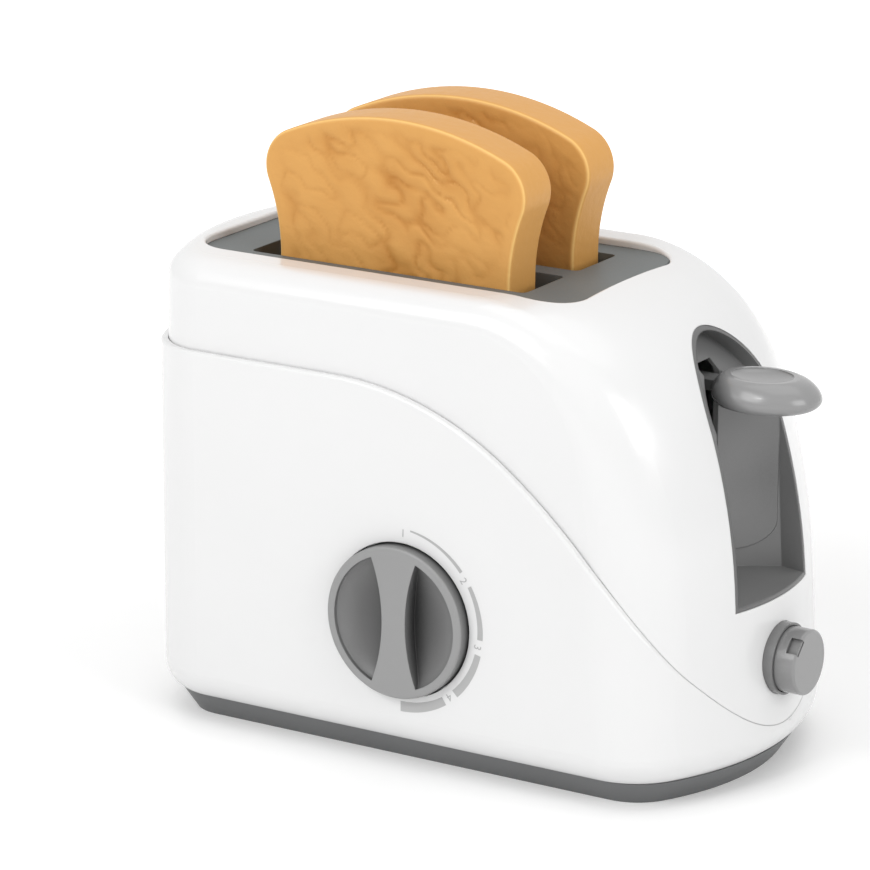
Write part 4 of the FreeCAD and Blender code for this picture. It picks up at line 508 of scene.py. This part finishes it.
# %% The toast's finish
TOAST_LIGHT = (0.74, 0.39, 0.115)
TOAST_DARK = (0.50, 0.21, 0.04)
PAINTED_RIM_HIGHLIGHT = (0.90, 0.57, 0.20)
FACE_BROWN = 0.15
CREASE_SHADE = 0.85
RIM_AT = 0.7
RIM_SHARP = 3.6
toast_skin, tree, shader = new_material("toast_skin", TOAST_LIGHT, 0.42)
shader.inputs["Specular IOR Level"].default_value = 0.25
where = add(tree, "ShaderNodeTexCoord")
split = add(tree, "ShaderNodeSeparateXYZ")
tree.links.new(where.outputs["Normal"], split.inputs["Vector"])
facing = calc(tree, "ABSOLUTE", split.outputs["Y"])
creased = add(tree, "ShaderNodeAttribute", attribute_name="crease")
# Painted shade: the deeper the crease, the more of the dark tone.
in_crease = calc(tree, "MULTIPLY", creased.outputs["Fac"], CREASE_SHADE)
crease_shade_share = calc(tree, "ADD", in_crease, FACE_BROWN, clamp=True)
crease_shaded = mix(tree, crease_shade_share, (*TOAST_LIGHT, 1), (*TOAST_DARK, 1))
# Painted highlight: a lighter colour on the rounded rim between face and crust.
off_rim = calc(tree, "ABSOLUTE", calc(tree, "SUBTRACT", facing, RIM_AT))
rim_highlight_share = calc(tree, "SUBTRACT", 1.0, calc(tree, "MULTIPLY", off_rim, RIM_SHARP), clamp=True)
tree.links.new(mix(tree, rim_highlight_share, crease_shaded, (*PAINTED_RIM_HIGHLIGHT, 1)), shader.inputs["Base Color"])
gloss = place(tree, gloss_grain, Smooth=0.36, Coarse=0.52, Scale=400.0)
tree.links.new(gloss.outputs["Roughness"], shader.inputs["Roughness"])
fine = place(tree, relief, Depth=0.0002, Edge=0.0, Scale=350.0)
tree.links.new(fine.outputs["Normal"], shader.inputs["Normal"])
for s in slices:
    s.data.materials.append(toast_skin)
print("toast:", toast_skin.name)

# %% [markdown]
# ## Dress the pieces
# The record gives each piece a slot, a name for the finish that it has on the real toy. A table
# from slots to materials dresses all of them at once, and the knob then gets its own finish.

# %% Slots to materials
BY_SLOT = {"white_casing": white, "slate_trim": slate, "grey_control": control,
           "well_grey": well, "base_grey": base, "inner_black": inner,
           "toast_foam": toast_skin, "spring_steel": spring_steel, "rod_steel": rod_steel,
           "plate_steel": plate_steel, "gear_acetal": acetal, "screw_zinc": zinc}
for sub in frame["record"]["subparts"]:
    mesh = nodes[sub["node"]].data
    mesh.materials.clear()
    mesh.materials.append(BY_SLOT[sub["material_slot"]])
    for polygon in mesh.polygons:
        polygon.material_index = 0
nodes["dial_knob"].data.materials[0] = knob_grey

# %% [markdown]
# ## The lift springs
# Two coil springs round the guide rods push the carriage up. On the real toy they shorten as the
# lever goes down, while their feet stay in the base plate. A rigid piece can't do that, and each
# one here keeps one length, drawn as a round wire wound on a helix. It stands on the casing and
# takes the place of the frame's spring.

# %% Winding a spring
TURNS = 9
STEPS = 24
SIDES = 8


def wound(name, foot, height, coil, wire):
    """A closed tube round a helix that rises from the foot."""
    points, faces = [], []
    for i in range(TURNS * STEPS + 1):
        a = 2 * math.pi * i / STEPS
        out = Vector((math.cos(a), math.sin(a), 0))
        middle = foot + out * coil + Vector((0, 0, wire + (height - 2 * wire) * i / TURNS / STEPS))
        for j in range(SIDES):
            b = 2 * math.pi * j / SIDES
            points.append(middle + out * (wire * math.cos(b)) + Vector((0, 0, wire * math.sin(b))))
        if i:
            k = (i - 1) * SIDES
            for j in range(SIDES):
                n = (j + 1) % SIDES
                faces.append((k + j, k + n, k + SIDES + n, k + SIDES + j))
    last = len(points) - SIDES
    faces += [tuple(reversed(range(SIDES))), tuple(range(last, last + SIDES))]
    mesh = bpy.data.meshes.new(name)
    mesh.from_pydata([tuple(p) for p in points], [], faces)
    mesh.polygons.foreach_set("use_smooth", [True] * len(faces))
    mesh.materials.append(spring_steel)
    return show(name, mesh)


print("a spring has", TURNS, "turns")

# %% Two lift springs
WIRE = 0.5 * MM
CLEAR = 0.1 * MM
for side in ("front", "rear"):
    low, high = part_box("lift_spring_" + side)
    foot = Vector(((low.x + high.x) / 2, (low.y + high.y) / 2, low.z + CLEAR))
    tall = high.z - low.z - 2 * CLEAR
    spring = wound("wound_spring_" + side, foot, tall, (high.x - low.x) / 2 - WIRE, WIRE)
    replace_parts(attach(spring, "casing"), "lift_spring_" + side)
    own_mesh(spring)

# %% [markdown]
# ## Print round the dial
# On the toy a grey band is printed on the casing. It widens clockwise from the top of the dial
# to the bottom, like a volume mark, and plain numbers stand in its breaks. Ink is too thin to
# model in the round, so the band is flat strips that lie a hair above the casing and ride on it.

# %% The ink and a clock angle
PRINT_LIFT = 0.05 * MM
ink = moulded("dial_ink", (0.46, 0.46, 0.46), 0.5, drift=0.05, grain=2000.0, depth=0.000002,
              edge=0.0)


def clock_point(degrees, radius):
    """A point on the casing's front, by clock angle round the dial."""
    a = math.radians(degrees)
    return (DIAL.x + radius * math.sin(a), FRONT_Y - PRINT_LIFT, DIAL.z + radius * math.cos(a))


print("ink lies", PRINT_LIFT / MM, "mm above the casing")

# %% [markdown]
# ### The band
# Each strip runs between two numbers, in steps of about two degrees. Its outer edge is a circle
# and its inner edge closes in as the angle grows.

# %% Band strips
BAND_OUTER = 28.2 * MM
BAND_THIN = 0.4 * MM
BAND_WIDE = 3.2 * MM
BREAK = 5.0
NUMBERS = {"1": 2.0, "2": 54.0, "3": 98.0, "4": 141.0}


def ink_band(name, start, stop):
    """One strip of the band between two clock angles, on the casing."""
    steps = max(2, int((stop - start) / 2))
    points, faces = [], []
    for i in range(steps + 1):
        angle = start + (stop - start) * i / steps
        width = BAND_THIN + (BAND_WIDE - BAND_THIN) * angle / 180
        points += [clock_point(angle, BAND_OUTER), clock_point(angle, BAND_OUTER - width)]
        if i:
            k = 2 * i
            faces.append((k - 2, k - 1, k + 1, k))
    mesh = bpy.data.meshes.new(name)
    mesh.from_pydata(points, [], faces)
    mesh.materials.append(ink)
    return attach(show(name, mesh), "casing")


stops = sorted(NUMBERS.values())
for i, (start, stop) in enumerate(zip(stops, stops[1:] + [180.0 + BREAK]), start=1):
    ink_band(f"dial_band_{i}", start + BREAK, stop - BREAK)
print("band strips:", len(stops))

# %% [markdown]
# ### The numbers
# Plain digits, one to four, say how long the toast stays down. Each is a text object turned with
# its clock angle and then made into a mesh, so that the export sees ordinary faces.

# %% Numbers
NUMBER_RADIUS = 26.6 * MM
NUMBER_TALL = 3.4 * MM
for text, angle in NUMBERS.items():
    bpy.ops.object.text_add()
    label = bpy.context.object
    label.name = "dial_number_" + text
    label.data.body = text
    label.data.size = NUMBER_TALL
    label.data.align_x = "CENTER"
    label.data.align_y = "CENTER"
    label.location = clock_point(angle, NUMBER_RADIUS)
    label.rotation_euler = (math.radians(90), math.radians(angle), 0)
    bpy.ops.object.convert(target="MESH")
    label.data.materials.append(ink)
    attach(label, "casing")
print("numbers:", ", ".join(NUMBERS))

# %% [markdown]
# ## The notch in the stop button
# A small notch in the button's side is a grip for a fingertip. The cap is hollow, so the notch
# would show the dark inside. On the real button a web closes it, and this thin plate is that
# web. It rides on the button and goes in and out with it.

# %% The notch's floor
button_low, button_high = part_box("stop_button")
BUTTON_RADIUS = (button_high.y - button_low.y) / 2
BUTTON_Z = (button_high.z + button_low.z) / 2
NOTCH_WIDE = 5.0 * MM
NOTCH_LONG = 3.4 * MM
NOTCH_DEEP = 2.0 * MM
WEB = 0.6 * MM
LAP = 0.2 * MM
TURN = math.radians(45)
bpy.ops.mesh.primitive_cube_add(size=1.0)
web = bpy.context.object
web.name = "button_notch_floor"
away = BUTTON_RADIUS - NOTCH_DEEP - WEB / 2
web.location = (button_high.x - NOTCH_LONG / 2 - LAP, -away * math.sin(TURN),
                BUTTON_Z + away * math.cos(TURN))
web.rotation_euler = (TURN, 0, 0)
web.scale = (NOTCH_LONG, NOTCH_WIDE + 2 * LAP, WEB)
bpy.ops.object.transform_apply(location=False, rotation=True, scale=True)
web.data.materials.append(control)
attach(web, "button")
print("notch floor at, mm:", [round(v / MM, 1) for v in web.location])

# %% [markdown]
# ## The floor
# The toy stands on a white sweep. Its floor keeps the soft shadow close by and fades to pure
# white further off. That fade is a glow which only the camera and mirror-like reflections see,
# through the Light Path node: it lights nothing, so the casing is not washed out from below.

# %% Only for the eye
def seen_directly(tree):
    """1 for rays from the camera or from a reflection or refraction, 0 for light's own bounces."""
    path = add(tree, "ShaderNodeLightPath")
    mirrored = calc(tree, "MAXIMUM", path.outputs["Is Glossy Ray"],
                    path.outputs["Is Transmission Ray"])
    return calc(tree, "MAXIMUM", path.outputs["Is Camera Ray"], mirrored)


print("helper: seen_directly")

# %% The floor
FLOOR_SIZE = 8.0
GLOW_STARTS = 0.15
GLOW_FULL = 0.7
GLOW_NEAR = 0.15
GLOW_FAR = 0.5
bpy.ops.mesh.primitive_plane_add(size=FLOOR_SIZE, location=(0, 0, 0))
floor = bpy.context.object
floor.name = "floor"
floor_mat, tree, shader = new_material("floor_white", (0.9, 0.9, 0.9), 0.5)
shader.inputs["Emission Color"].default_value = (1.0, 0.995, 0.985, 1)
far_out = add(tree, "ShaderNodeVectorMath", operation="LENGTH")
tree.links.new(add(tree, "ShaderNodeTexCoord").outputs["Object"], far_out.inputs[0])
glow = add(tree, "ShaderNodeMapRange", From_Min=GLOW_STARTS, From_Max=GLOW_FULL,
           To_Min=GLOW_NEAR, To_Max=GLOW_FAR)
tree.links.new(far_out.outputs["Value"], glow.inputs["Value"])
strength = calc(tree, "MULTIPLY", glow.outputs["Result"], seen_directly(tree))
tree.links.new(strength, shader.inputs["Emission Strength"])
floor.data.materials.append(floor_mat)
print("floor:", floor.name)

# %% [markdown]
# ## Light
# One large soft lamp stands at the upper left in front, as the main light. A weaker one overhead
# opens the top, one at the right lifts the end with the lever, and a small one gives the handle
# and the knob their short highlights. Each lamp is a row with its place, the point it aims at,
# its width and height, and its power in watts.

# %% Four lamps
def lamp(name, place_at, aim, size, power):
    """A rectangular lamp that is part of the stage and not of the toy."""
    light = bpy.data.lights.new(name, "AREA")
    light.shape = "RECTANGLE"
    light.size, light.size_y = size
    light.energy = power
    obj = show(name, light)
    obj.location = place_at
    obj.rotation_euler = (Vector(aim) - Vector(place_at)).to_track_quat("-Z", "Y").to_euler()


LAMPS = {"key": ((-0.5, -1.5, 1.1), (0, 0, 0.08), (1.1, 1.1), 12.5),
         "top": ((0.1, 0.2, 1.6), (0, 0, 0.1), (1.4, 1.4), 5),
         "spark": ((-0.1, -1.3, 1.1), (0.1, 0, 0.11), (0.25, 0.08), 1.2),
         "side": ((1.6, -0.3, 0.8), (0, 0, 0.08), (0.9, 0.9), 8.5)}
for name, values in LAMPS.items():
    lamp(name, *values)
print("lamps:", ", ".join(LAMPS))

# %% [markdown]
# ## The room
# The world is a plain white room. Its light is held to about half, while the camera and the
# reflections see it as full white, for the same reason and in the same way as on the floor.

# %% World
ROOM_LIGHT = 0.57
world = bpy.data.worlds.new("white_room")
bpy.context.scene.world = world
world.use_nodes = True
room = world.node_tree
lights = room.nodes["Background"]
lights.inputs["Color"].default_value = (1, 1, 1, 1)
lights.inputs["Strength"].default_value = ROOM_LIGHT
shown = add(room, "ShaderNodeBackground", Color=(1, 1, 1, 1), Strength=1.0)
choose = add(room, "ShaderNodeMixShader")
room.links.new(seen_directly(room), choose.inputs["Fac"])
room.links.new(lights.outputs["Background"], choose.inputs[1])
room.links.new(shown.outputs["Background"], choose.inputs[2])
room.links.new(choose.outputs["Shader"], room.nodes["World Output"].inputs["Surface"])
print("room:", world.name)

# %% [markdown]
# ## Camera
# A long lens from well back, above the right front corner. Far off and long, it keeps the
# uprights nearly parallel, as on a catalogue page. The Standard view transform shows colours as
# they are written.

# %% Camera and view
CAMERA_AT = Vector((0.6932, -1.1373, 0.4792))
CAMERA_AIM = Vector((-0.01433, -0.00898, 0.08803))
camera = bpy.data.cameras.new("camera")
camera.lens = 191.9
camera.sensor_width = 36.0
camera_obj = show("camera", camera)
camera_obj.location = CAMERA_AT
camera_obj.rotation_euler = (CAMERA_AIM - CAMERA_AT).to_track_quat("-Z", "Y").to_euler()
bpy.context.scene.camera = camera_obj
bpy.context.scene.view_settings.view_transform = "Standard"
print("camera at, m:", [round(v, 3) for v in CAMERA_AT])
